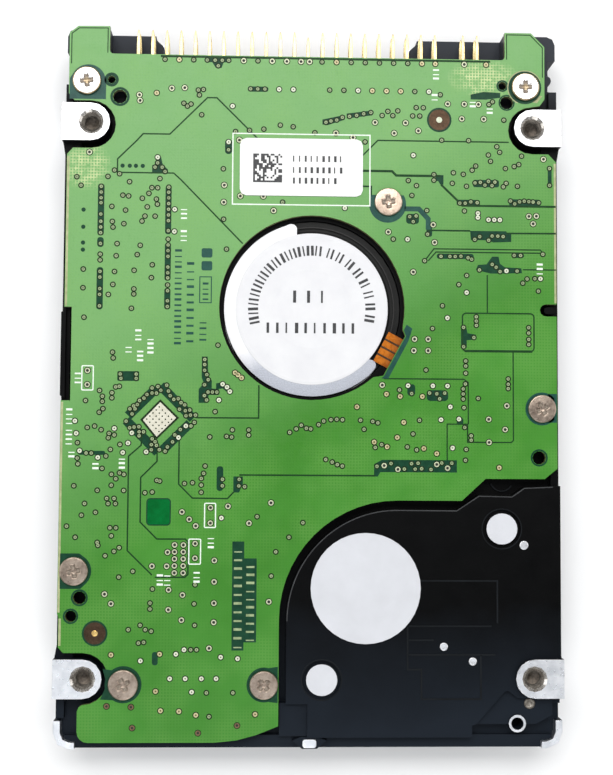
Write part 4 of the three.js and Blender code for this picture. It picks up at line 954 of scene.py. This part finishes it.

# ---------------------------------------------------------------- board: vias
# Places as x,y. Plain vias lie under the mask, open ones show their hole as a disc of painted shade, filled
# and bronze ones are closed, ringed ones have a hole of painted shade in bronze.
VIAS = {
    "plain": """
-20.8,45.2 -16.8,45.2 -14.9,45.2 -13.8,45.2 -12.8,45.2 -11.9,45.2 -7.8,45.2 1.2,45.2 5.3,45.2 7.3,45.2
9.3,45.2 11.3,45.2 13.3,45.2 -13.35,44.4 -8.8,41.2 -7.8,41.2 -6.8,41.2 2.3,41.2 4.3,41.2 14.3,41.2
17.9,40.8 -16.1,40.9 -15.4,41 -15.95,40.2 -18.1,39 -17.6,38.6 -17.1,38.9 -15.6,37.4 -21.65,30.5 -22,29.9
-21,29.9 -20.6,29.3 -27.6,29.4 -26.9,28.9 -28.5,28.5 -32.8,28.4 -32.2,27.2 -25.5,27.8 -21.3,28.3 -4.6,36.1
-2.8,35.9 -6.9,35.5 -8.9,35.3 -10.85,35.1 .25,35.1 7.3,33.9 1.8,36.6 2.5,36.8 3.3,36.95 4.1,37.35 5.1,37.5
6.1,37.65 7.1,37.9 8.1,38.1 9.7,37.7 10.5,38.3 11.2,37.7 11.9,38.4 -11.8,32.5 -12.5,29.8 -12.4,22.7
-11.95,18.5 -4.2,25.2 11.3,20.2 24.8,39.5 25.3,39.9 14.5,38.9 15.5,38.9 14,37.7 15,37.7 26.9,37.3
18.1,34.3 21.9,34.3 25.9,33.5 26.3,32.7 33.35,30.5 33.35,28.1 24.7,32.3 25,31.4 22.9,30.7 22.4,30.1
29.4,32.2 28.35,30.7 29,31 27.1,30.4 17,29.4 17,28.6 19.75,29.7 21.15,29.5 19.6,28.2 21.6,27.8 13.4,28.5
14.55,27.8 22.8,28.3 23.55,28.4 24.2,28 24.7,28.55 25.2,27.95 25.6,28.45 26.8,27.8 27.2,28.3 28.8,27.9
20.65,25.4 21.4,25.4 22.2,25.6 23.1,25.5 28.4,25.4 29.1,25.7 29.75,25.8 30.4,25.75 31,25.7 31.8,25.6
27.8,25.8 13.9,26.4 16,24.3 13.6,23.4 14.5,23.5 14.1,22.7 16.1,20.95 21.3,24.3 22.75,20.3 23.45,20.7
24.7,20.2 25.2,20.8 26,20.8 26.75,20.75 15.7,17.2 32.35,18.3 18,17.85 19.25,17.85 20,17.85 20.8,17.9
21.8,17.7 22.3,17.5 23.4,16 25.2,16.8 25.75,16.4 26.3,15.8 28.7,15.9 28.3,18.1 29.2,18.1 30.1,14.8
29.5,14.2 31.2,14.85 31.7,13.1 21.6,15.2 20.5,13.9 18.2,10.9 16.8,7.7 22.95,9.4 22.95,8.8 22.95,8.2
30.3,7.95 30.3,7.2 30.3,6.3 30.3,5.6 21.15,7.9 22.6,6.5 21.15,5.2 -26.4,25.9 -25.6,25.8 -27.9,24.3
-26,23.8 -27.8,22.2 -27.7,21.4 -26.2,21.9 -27.1,19.1 -27.2,17.4 -27.4,15.2 -27.6,13.4 -28.2,12 -24.7,12.8
-24.7,12.1 -24.7,15.4 -24.3,17.6 -23.9,18.9 -23.7,22.3 -23.3,23 -21.9,23 -23,24.3 -21.6,24.7 -21.75,25.4
-23.7,25.5 -22.8,26.2 -22.4,27 -21.6,27 -22.2,16.2 -22.3,14.4 -25,10.1 -31.7,15.5 -31.5,8.8 -31.7,12.9
-13,5.1 -26.4,1 -24.2,1 -26.3,.4 -24.2,.4 -27,-.8 -26.5,-.7 -27.5,-1.6 -27.5,-2.3 -29.2,-1.3 -28.8,-2.1
-28.8,-2.8 -28.7,-3.8 -29.2,-4.3 -31.1,-2.7 -27.5,4 -27.4,3.2 -20,-.5 -21.2,-.7 -22,-.9 -20.8,-1.2
-21.4,-1.6 -22,-1.6 -22.7,-1.8 -19.75,-1.3 -19.5,-1.95 -19,-2.45 -18.4,-2.35 -18,-2.9 -17.5,-3.2
-18.2,-3.8 -17.4,-4 -16.8,-3.9 -16,-4.6 -16.7,-4.6 -17.3,-4.7 -23.1,-2.3 -23.7,-2.65 -24.5,-3.4 -24,-3.2
-25,-3.8 -24.3,-3.8 -24.7,-4.5 -25.5,-5.5 -25,-6.4 -24.4,-6.3 -23.75,-6.25 -23.7,-6.95 -23.1,-6.95
-23.7,-7.5 -16.15,-5.6 -16.6,-6.1 -18.05,-6.6 -18.8,-7.35 -19.1,-8.3 -19.8,-9 -20.1,-9.6 -20.9,-9.4
-21.3,-8.8 -21.5,-8.3 -21.9,-7.9 -22,-8.7 -22,-9.4 -30.8,-6.4 -29.8,-6.2 -28.9,-6.7 -32.1,-8.5 -27.8,-7.2
-27.1,-7.4 -27.9,-7.8 -26.3,-8.7 -27.6,-9.4 -30.9,-9.9 -30.2,-9.9 -28.2,-10.3 -32.1,-10.6 -32,-11.4
-28.7,-12 -26.3,-12.6 -25.7,-12.8 -27.4,-12.8 -26.8,-13.4 -27.4,-14.3 -32.5,-14.4 -29.3,-15 -25.7,-15
-31,-16.8 -28,-16.1 -27,-16.1 -27.8,-16.8 -26.8,-16.8 -29.5,-18 -31.4,-18.4 -33.4,-19.9 -27.5,-20.1
-26.7,-20.1 -21.2,-13.6 -20.8,-13.7 -22.8,-15.3 -21.8,-15.2 -17.4,-14 -16.3,-13.9 -14.6,-11.6 -14.8,-12.6
-15.1,-13.3 -15.1,-14.2 -15.1,-15.2 -14,-7.6 -13.3,-4.1 -14.8,3.1 -14.8,2.4 -14.8,1.6 -14.5,1 -14.3,.3
-14.8,-.4 -14.3,-1.4 -13.7,-1.4 -13.1,-1.4 -14.8,-1.9 -14.5,-2.5 -10.9,-6.6 -11.7,-7.5 -11,-7.6 -8.65,-6.6
-8.65,-7.3 -3,-6.9 -2.1,-6.4 -1.4,-5.9 -.7,-6.3 -.1,-6.4 1,-5.8 1.7,-5.3 2.7,-5.1 3.5,-5.05 4.3,-5.1
6.8,-5.15 8.5,-5.3 9.2,-5.5 7.3,-6.4 8.85,-8.9 9.75,-8.5 12.2,-.9 2,-10.6 2.9,-10.95 3.6,-11.3 4.3,-11.5
-9.9,-13.4 -9.95,-14.3 -9.15,-14.4 -12.2,-13.4 -12.2,-14.3 -7.4,-18.5 -1.1,-19.3 9.1,-11.5 11.05,-11.1
12.9,-11.85 13.9,-11.1 14.4,-11.85 14.8,-11.05 15.3,-11.8 16.6,-11.9 18.1,-11 19.5,-11 15.9,1.9 21.45,3.2
21.45,2.5 21.45,1.5 16.4,-1.3 17.4,-1.4 18.5,-1.3 17.8,-2.1 13.9,-1.4 21.4,0 21.1,-.7 21.1,-1.4 21.1,-2.1
21.2,-3.3 23.2,-2 27.4,.75 27.4,0 27.4,-.6 15,-5.1 21.3,-6.05 22.2,-7.2 22.2,-7.8 14.1,-7 13.3,-8.8
14.6,-9.2 21.5,-9.1 21.4,-10.6 -32.2,-21.4 -29.2,-22.1 -29.1,-22.5 -27.3,-21.2 -26.2,-22.8 -26.9,-23.3
-28.1,-23.9 -26.2,-26.8 -24.3,-26 -21.6,-28.4 -15.8,-27.8 -15.9,-30.4 -15.8,-33.3 -21.9,-30.3 -21.9,-31.1
-24.8,-33.9 -23.2,-33.3 -22.5,-33.9 -21.7,-34.1 -23.4,-35.7 -22.7,-35.6 -16.3,-36.6 -15.5,-36.6
-14.1,-42.4 -10.5,-42.4 -13.7,-45.6 -3,-21.3 -4.8,-23.3 -5.4,-26.6
""",
    "open": """
-9.8,45.2 -5.8,45.2 -3.75,45.2 -1.75,45.2 -.55,45.2 21.3,45.2 -24.3,40.1 -24.2,39.3 -19.8,41.1 -18,41.2
-31.1,31.9 3.2,35.1 5.6,34.5 8.7,36.7 11.4,35.2 13,36.7 14.8,35.6 -10.3,33.9 -12.35,27.5 -12.4,25.1
-10.1,26 -6.9,26 -5.45,24 10.6,21.2 18.95,39.5 21.3,39.5 23.3,39.5 20.95,37.4 24.05,37.4 32.5,31.8
16.9,22.3 17.1,19.8 30.4,23.65 31.45,23.7 31,22.6 14.1,15.6 14.3,6.2 16.2,6.2 14.2,4.6 16.2,4.6 -30.9,1.45
-30.9,-.5 -17.7,-17.9 -16.7,-18.9 -15.8,-19.8 -13.8,-17.3 -13.8,-19.4 9.8,-.25 -11.4,-17.1 -5.5,-16.6
-8.5,-19.4 10.1,-11.4 12,-11.9 17.4,-11.2 18.9,-11.7 27.2,-3 24.65,-4.9 26.95,-6.3 24.7,-8.1 -28.1,-29.1
-27.2,-30.4 -21.7,-25.3 -19.7,-25.3 -19.6,-23.4 -15.85,-22.2 -15.85,-24.2 -13.2,-24.5 -13.2,-27.4
-13.2,-30.3 -13.2,-32.9 -19.4,-28.5 -17.5,-29.2 -19.4,-31.2 -17.6,-32.6 -13.8,-36.4 -5.7,-30.1
""",
    "filled": """
-4.8,41.2 -2.8,41.2 6.3,41.2 16.3,41.2 -11.3,38.7 -21.65,31.3 -11.8,33.6 4.5,24.5 13.3,20.2 14.1,32.1
23.2,24 23.2,23.4 24.7,23.1 25.5,23.1 26.3,23.1 27.2,15.9 32,14.85 21.6,12.8 18.9,9.2 -19.2,24 -19.2,20.9
-24.7,-7.1 -17.3,-6.1 -18.3,-7.7 -22.7,-9.7 -32.5,-5.5 -32.3,-7.2 -27.1,-6.5 -25.2,-8.5 -25.9,-9.8
-31.8,-9.6 -29.3,-10.5 -12.8,-2.5 -12.3,-18.7 -12.3,-.3 -11.7,-.7 -11.3,-1.3 13.4,-.3 16.85,-.3 18.9,-.3
19.3,-3.2 18,-5 20.5,-4.9 19.6,-8.9 -23.1,-38.1 -18.3,-37.2 -17.2,-36.6 -12.2,-37.6 -9.9,-37.8 -19.1,-40.5
-17,-40.5 -14.8,-40.5 -12.8,-40.5 -16.1,-42.3
""",
    "bronze": """
-18.8,45.2 3.25,45.2 15.3,45.2 17.2,45.2 24.4,45.2 8.3,41.2 10.3,41.2 12.3,41.2 -21.9,40.4 -10.6,1.3
-10.2,1 -9.7,.6 6.3,-3.3 8.7,-8.15 10.5,-8.8 11.9,-7.5 12.8,-5.4 12.3,-1.8 10.4,-1.5 15.4,-1.8 15.6,-9
17.4,-9.7 26.1,-11.6 -27.1,-37.3 -20.5,-37.2 -21,-42.2 -20.3,-44.8 -17.8,-44.9 -15.5,-45.4 -7.45,-45.3
""",
    "ringed": """
-27.6,-44.2 -24.3,-44.3 -24.1,-47.1 -15.2,-47.8 -9.9,-46.8
""",
}
COLUMN_VIAS = {  # x of a straight column, then the places along it
    -29.4: (27.1, 26.3, 25.5, 24.8, 23.2, 22.2, 21.4, 20.6, 19.1, 17.6, 16.8, 15.2, 14.4, 12.8, 12, 10.4),
    -20.05: (27.1, 26.4, 25.6, 24.8, 24.0, 23.2, 22.4, 21.0, 19.8, 19.0, 18.2, 17.4, 15.9, 15.1, 14.4,
             13.4, 12.6, 11.2, 10.4),
}
VIA_PLACES = {kind: [tuple(map(float, w.split(","))) for w in text.split()] for kind, text in VIAS.items()}
VIA_PLACES["plain"] += [(x, y) for x, column in COLUMN_VIAS.items() for y in column]
VIA_PLACES["open"] += [(x, -22.4 - 0.95 * i) for x in (-18.65, -17.45) for i in range(5)]
# Kind: radius of dark rim, of land and of centre, then look and slot of land and of centre.
VIA_KINDS = {
    "plain": (0.41, 0.235, 0.09, TENTED, "board_green", HOLE_GREY, "board_green"),
    "open": (0.49, 0.37, 0.21, TIN, "pin_gold", HOLE_SHADE, "black_plastic"),
    "filled": (0.45, 0.31, 0.10, HOLE_WHITE, "bright_screw", HOLE_GREY, "board_green"),
    "bronze": (0.46, 0.32, 0.13, GILDED, "pin_gold", HOLE_BROWN, "copper_wire"),
    "ringed": (0.47, 0.36, 0.17, HOLE_BROWN, "copper_wire", HOLE_SHADE, "black_plastic"),
}
VIA_SIDES = 14
bm = bmesh.new()
for kind, (rim, land, *rest) in VIA_KINDS.items():
    for x, y in VIA_PLACES[kind]:
        add_ring(bm, x, y, land - 0.01, rim, BOARD_LOW, BOARD_TOP + 0.018, VIA_SIDES)
piece("via_rims", bm, VIA_RIM, "board_green")
for kind, (rim, land, core, land_look, land_slot, core_look, core_slot) in VIA_KINDS.items():
    lands, cores = bmesh.new(), bmesh.new()
    for x, y in VIA_PLACES[kind]:
        add_ring(lands, x, y, core, land, BOARD_LOW, BOARD_TOP + 0.03, VIA_SIDES)
        add_layer(cores, 0.016, [circle(x, y, core + 0.01, 10)])
    piece(f"via_lands_{kind}", lands, land_look, land_slot)
    piece(f"via_centres_{kind}", cores, core_look, core_slot)

# Vias through the heat pad, on a square grid turned by 45 degrees, and bare drilled holes.
GRID_STEP = 0.6 * 0.7071
grid = [(i, k) for i in range(-2, 3) for k in range(-2, 3)]
PAD_HOLES = [circle(-20.98 + (i - k) * GRID_STEP, -5.2 + (i + k) * GRID_STEP, 0.11, 8) for i, k in grid]
board_layer("heat_pad_holes", VIA_RIM, 0.03, "black_plastic", outlines=PAD_HOLES)
DRILLED = [(-26.5, 30.05), (-25.5, 30.05), (-24.65, 30.05), (-23.7, 30.05), (-31.8, 23.8), (-31.8, 21.4),
           (-31.8, 19.2), (-31.8, 18.2)]
drilled = [circle(x, y, 0.3, 14) for x, y in DRILLED]
board_layer("drilled_holes", DARK_MASK, 0.02, "black_plastic", outlines=drilled)

# ---------------------------------------------------------------- board: white ink
INK_LIFT = 0.022
INK_BOXES = [
    (-31.65, -1.25, -30.1, 2.1),
    (-14.6, -20.0, -13.1, -16.7),
    (-16.7, -25.0, -15.1, -21.6),
]
INK_MARKS = [  # x, y and number of bars
    (-32.2, 0.6, 3), (-13.7, -21.9, 3), (-15.6, -26.6, 3), (-20.6, -27, 3), (-19.6, -27, 3), (-17.9, 23.6, 3),
    (-17.9, 20.5, 3), (-24, 6.6, 3), (-25.3, 4.6, 2), (-22.3, 5.1, 4), (-23.7, 3.7, 3), (-33.3, -4.7, 4),
    (-33.3, -7.5, 4), (-32.9, -9.9, 2), (-29.6, -11.5, 2), (-26, -11.1, 3), (31.9, 16.4, 3), (17.3, 43.9, 3),
    (17.1, 40.6, 2), (22.5, 39.7, 2), (24.9, 38.8, 2),
]


def add_marks(bm, x, y, count, pitch, height, stroke, low, high, turned=False):
    """A row of plain bars where a printed word would be; they say nothing."""
    h = height / 2
    for i in range(count):
        wide = stroke * random.choice((1.0, 1.6, 2.1))
        u0 = (i - count / 2) * pitch
        u1 = u0 + min(wide, pitch * 0.72)
        if turned:
            add_prism(bm, box_outline(x - h, y + u0, x + h, y + u1), low, high)
        else:
            add_prism(bm, box_outline(x + u0, y - h, x + u1, y + h), low, high)


bm = bmesh.new()
add_layer(bm, INK_LIFT, loops=[(0.17, box_outline(-11.2, 24.85, 8.0, 34.85))])
add_layer(bm, INK_LIFT, loops=[(0.16, box_outline(*corners, 0.12, 2)) for corners in INK_BOXES])
for x, y, count in INK_MARKS:
    add_marks(bm, x, y, count, 0.62, 0.85, 0.14, BOARD_LOW, BOARD_TOP + INK_LIFT, turned=True)
piece("white_ink", bm, INK, "white_label")

# Etched marks where the maker's text and numbers would be: x, y, bars, pitch, height and stroke.
ETCHED_MARKS = [
    (-18.6, 12.0, 18, 0.76, 0.95, 0.16),
    (-16.9, 11.4, 11, 1.08, 1.0, 0.18),
    (-15.1, 7.3, 4, 0.8, 0.95, 0.16),
    (-14.8, 12.8, 4, 0.72, 0.8, 0.14),
]
bm = bmesh.new()
for mark in ETCHED_MARKS:
    add_marks(bm, *mark, BOARD_LOW, BOARD_TOP + LINE_LIFT, turned=True)
squares = [box_outline(-15.4, y, -13.9, y + 1.3, 0.25) for y in (15.5, 17.3)]
add_layer(bm, LINE_LIFT, squares, loops=[(0.14, box_outline(-15.6, 11.0, -14.0, 14.6))])
piece("etched_marks", bm, TEAL_MASK, "board_green")

bm = bmesh.new()
add_layer(bm, 0.012, [box_outline(-10.75, -36.7, -9.12, -21.9)])
add_layer(bm, 0.013, [box_outline(-9.15, -35.6, -7.4, -24.2)])
piece("mark_panels", bm, DARK_MASK, "board_green")
bm = bmesh.new()
add_marks(bm, -9.95, -29.3, 12, 1.18, 1.1, 0.16, BOARD_TOP, BOARD_TOP + 0.024, turned=True)
add_marks(bm, -8.25, -29.9, 10, 1.1, 1.1, 0.16, BOARD_TOP, BOARD_TOP + 0.025, turned=True)
piece("panel_marks", bm, TENTED, "board_green")

# Bare laminate left along the board's side edges: x, then where it starts and ends.
MARGINS = [(-34.0, 31.3, 10.4), (-34.3, -2.9, -31.6), (-34.1, -32.4, -36.1), (34.1, 31.2, 11.4)]
margins = [(0.3, [(x, first), (x, last)]) for x, first, last in MARGINS]
board_layer("laminate_margin", LAMINATE_AND_GLINT, 0.008, lines=margins)

# ---------------------------------------------------------------- board label print
LABEL_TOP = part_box("board_label")[1].z / MM
LABEL_PRINT = (LABEL_TOP - 0.01, LABEL_TOP + 0.006)
CELL = 0.27
CELLS = 15
bm = bmesh.new()
for column in range(CELLS):
    for row in range(CELLS):
        if column == 0 or row == 0 or random.random() < 0.48:
            x = -8.35 + CELL * column
            y = 27.95 + CELL * row
            add_prism(bm, box_outline(x, y, x + CELL, y + CELL), *LABEL_PRINT)
for x, y, count in ((0.9, 31.35, 9), (0.9, 29.75, 9), (0.5, 28.25, 8)):
    add_marks(bm, x, y, count, 0.82, 0.85, 0.17, *LABEL_PRINT)
piece("board_label_print", bm, PRINT, "black_plastic")

# ---------------------------------------------------------------- motor seal and lead
SEAL_LOW, SEAL_HIGH = 7.86, 8.02
SEAL_RADIUS = 10.6
AT_SPINDLE = (*SPINDLE, 0)
# Turned steps of the motor under the film: radius, width and height.
STEPS = ((10.25, 0.12, 0.025), (5.5, 0.15, 0.018), (2.7, 0.3, -0.015))
SEAL_RINGS = 90


def film_height(r):
    """Height of the film over the motor's turned steps."""
    swell = sum(height * math.exp(-(((r - at) / width) ** 2)) for at, width, height in STEPS)
    return SEAL_HIGH + 0.02 + swell


bm = bmesh.new()
rim = SEAL_RADIUS + 0.05
profile = [(0, SEAL_LOW + 0.02), (rim, SEAL_LOW + 0.02), (rim, SEAL_HIGH)]
for i in range(SEAL_RINGS + 1):
    r = SEAL_RADIUS * (1 - i / SEAL_RINGS)
    profile.append((r, film_height(r)))
add_lathe(bm, 0, 0, profile, 96)
piece("motor_seal_disc", bm, SEAL, "white_label", ["motor_seal"], at=AT_SPINDLE, smooth=True)

bm = bmesh.new()
flap = (
    arc(0, 0, 12.25, 108.5, 313, 72)
    + arc(8.05, -7.8, 0.95, -35, 40, 5)
    + arc(0, 0, 10.3, 318, 102, 60)
    + arc(-2.95, 11.1, 0.85, 20, 105, 5)
)
add_prism(bm, flap, SEAL_LOW, SEAL_HIGH - 0.03)
piece("motor_seal_flap", bm, FOIL, "white_label", at=AT_SPINDLE)

# Plain strokes round the seal and across it, where printed words would be.
PRINT_HEIGHTS = (SEAL_HIGH - 0.05, SEAL_HIGH + 0.05)
bm = bmesh.new()
for first, last, count in ((192, 128, 8), (118, 92, 4), (84, 72, 2), (62, -9, 7)):
    for i in range(count):
        angle = math.radians(first + (last - first) * i / (count - 1))
        across = Vector((-math.sin(angle), math.cos(angle)))
        out = Vector((math.cos(angle), math.sin(angle)))
        for shift in (-0.32, 0.3):
            half = across * random.choice((0.1, 0.14, 0.19))
            low, high = out * 7.5 + across * shift, out * 8.9 + across * shift
            add_prism(bm, [low - half, high - half, high + half, low + half], *PRINT_HEIGHTS)
add_marks(bm, 0.3, 1.7, 3, 1.95, 1.7, 0.26, *PRINT_HEIGHTS)
add_marks(bm, 0.3, -2.7, 10, 1.32, 1.45, 0.22, *PRINT_HEIGHTS)
piece("motor_seal_print", bm, PRINT, "black_plastic", at=AT_SPINDLE)

# The lead: amber film over four flat conductors, with three gaps between them.
LEAD_TURN = Matrix.Rotation(math.radians(-28), 3, "Z")
LEAD_ENDS = (11.0, 17.5)
LEAD_STEP = 1.15


def lead_piece(name, look, strips, **more):
    """Strips along the lead, each a middle, half width, low and high; all turned into its direction."""
    bm = bmesh.new()
    for v, half, low, high in strips:
        add_prism(bm, box_outline(LEAD_ENDS[0], v - half, LEAD_ENDS[1], v + half), low, high)
    bmesh.ops.rotate(bm, matrix=LEAD_TURN, verts=bm.verts)
    piece(name, bm, look, "amber_film", at=AT_SPINDLE, **more)


wires = [(-1.72 + LEAD_STEP * i, 0.42, 8.03, 8.19) for i in range(4)]
lead_piece("motor_lead_film", AMBER, [(0, 2.3, 8.03, 8.12)] + wires, replaced=["motor_lead"])
lead_piece("motor_lead_gaps", BROWN_PAD, [(LEAD_STEP * (i - 1), 0.12, 8.1, 8.15) for i in range(3)])

# A thin ring of painted shade where a fine groove is turned in the flange round the seal, and a thin ring of
# painted highlight on a fine ridge outside it.
FLANGE_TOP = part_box("motor_flange")[1].z / MM
for name, inner, outer, lift, look in (
    ("groove", 11.44, 11.58, 0.008, HOLE_SHADE),
    ("ridge", 12.5, 12.62, 0.01, HIGHLIGHT_COAT),
):
    bm = bmesh.new()
    add_ring(bm, 0, 0, inner, outer, FLANGE_TOP - 0.05, FLANGE_TOP + lift, 72)
    piece(f"flange_{name}", bm, look, "black_coat", at=AT_SPINDLE)

# ---------------------------------------------------------------- roof details
ROOF_LOW = ROOF_TOP - 0.1
ROOF_EDGE = arc(12, -32.75, 15.2, 180, 92, 30) + [
    (20.2, -17.6), (23.3, -15.55), (27.9, -15.65), (29.6, -14.45), (33.6, -14.25)
]
RIDGES = [
    [(13.4, -33.5), (13.4, -39.3), (15.3, -39.3), (15.3, -43.3), (23.5, -43.3), (23.5, -37.3)],
    [(13.6, -35.3), (17, -35.3)],
    [(13.6, -37.3), (25.5, -37.3)],
    [(15, -27.2), (25.8, -27.2), (25.8, -33.0)],
    [(13.6, -33.4), (25.0, -33.4)],
]
# A painted highlight line along the roof's rounded top edge.
bm = bmesh.new()
add_line(bm, ROOF_EDGE, 0.14, ROOF_LOW, ROOF_TOP + 0.03)
piece("roof_edge_highlight", bm, HIGHLIGHT_COAT, "black_coat")
bm = bmesh.new()
for points in RIDGES:
    add_line(bm, points, 0.22, ROOF_LOW, ROOF_TOP + 0.06)
for x, y in ((26.45, -20.05), (1.6, -40.7)):
    add_ring(bm, x, y, 2.68, 2.82, ROOF_LOW, ROOF_TOP + 0.04, 40)
add_line(bm, arc(26.8, -13.3, 1.6, 200, 330, 14), 0.16, 6.8, 7.1)
piece("roof_ridges", bm, RIDGE_COAT, "black_coat")

for name, x, y, r in (("a", 18.4, -36.2, 0.57), ("b", 22.4, -38.2, 0.57), ("c", 29.55, -22.3, 0.62)):
    bm = bmesh.new()
    profile = [(0, -0.1), (1, -0.1), (1, 0.02), (0.8, 0.04), (0.35, 0.03), (0, 0.0)]
    add_lathe(bm, 0, 0, [(r * share, ROOF_TOP + lift) for share, lift in profile], 24)
    piece(f"ejector_mark_{name}", bm, MACHINED, "bare_aluminium", at=(x, y, 0), smooth=True)

# ---------------------------------------------------------------- cover label print
COVER_LABEL_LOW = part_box("cover_label")[0].z / MM
COVER_PRINT = (COVER_LABEL_LOW - 0.006, COVER_LABEL_LOW + 0.03)
bm = bmesh.new()
for corners in ((-22, 26, 22, 30), (-22, 4, 2, 22), (6, 4, 22, 12), (6, 15, 22, 22)):
    add_line(bm, box_outline(*corners, 0.4, 3), 0.3, *COVER_PRINT, closed=True)
for row in range(5):
    add_marks(bm, -10, 19.5 - 3.2 * row, 14, 1.4, 1.2, 0.35, *COVER_PRINT)
for i in range(44):
    x = -21 + 0.95 * i
    add_prism(bm, box_outline(x, -16, x + random.choice((0.25, 0.4, 0.6)), -8), *COVER_PRINT)
piece("cover_label_print", bm, PRINT, "black_plastic")

# ---------------------------------------------------------------- floor and lights
FLOOR_HALF = 1500.0
bm = bmesh.new()
for x, y in box_outline(-FLOOR_HALF, -FLOOR_HALF, FLOOR_HALF, FLOOR_HALF):
    bm.verts.new((x, y, -0.02))
bm.faces.new(bm.verts)
floor_look = Look("pale_floor", specular=0.1)
floor_look.colour(floor_look.mottle(floor_look.noise(60), (0.93, 0.93, 0.93), (0.95, 0.95, 0.95)))
floor_look.rough(floor_look.noise(3), 0.8, 0.95)
piece("floor", bm, floor_look.material, body=None)

world = bpy.data.worlds.new("studio")
bpy.context.scene.world = world
world.use_nodes = True
background = world.node_tree.nodes["Background"]
background.inputs["Color"].default_value = (1, 1, 1, 1)
background.inputs["Strength"].default_value = 0.26

# Rectangular soft boxes: place, target and size in millimetres, then power and colour.
WHITE = (1, 1, 1)
LIGHTS = {
    "key": ((-20, 235, 420), (0, 20, 0), (460, 220), 1.7, WHITE),
    "left": ((-430, 20, 300), (0, 0, 0), (300, 300), 0.6, WHITE),
    "right": ((430, 20, 300), (0, 0, 0), (300, 300), 0.6, WHITE),
    "front": ((0, -430, 300), (0, 0, 0), (300, 260), 0.6, WHITE),
    "ceiling": ((-20, -190, 420), (0, -60, 0), (320, 160), 0.30, (0.88, 0.94, 1.0)),
}
for name, (place, target, (wide, deep), power, colour) in LIGHTS.items():
    data = bpy.data.lights.new(name, "AREA")
    data.shape = "RECTANGLE"
    data.size, data.size_y = wide * MM, deep * MM
    data.energy = power
    data.color = colour
    light = bpy.data.objects.new(name, data)
    bpy.context.scene.collection.objects.link(light)
    light.location = Vector(place) * MM
    direction = (Vector(target) - Vector(place)).normalized()
    light.rotation_mode = "QUATERNION"
    light.rotation_quaternion = direction.to_track_quat("-Z", "Y")
bpy.context.scene.view_settings.view_transform = "Standard"
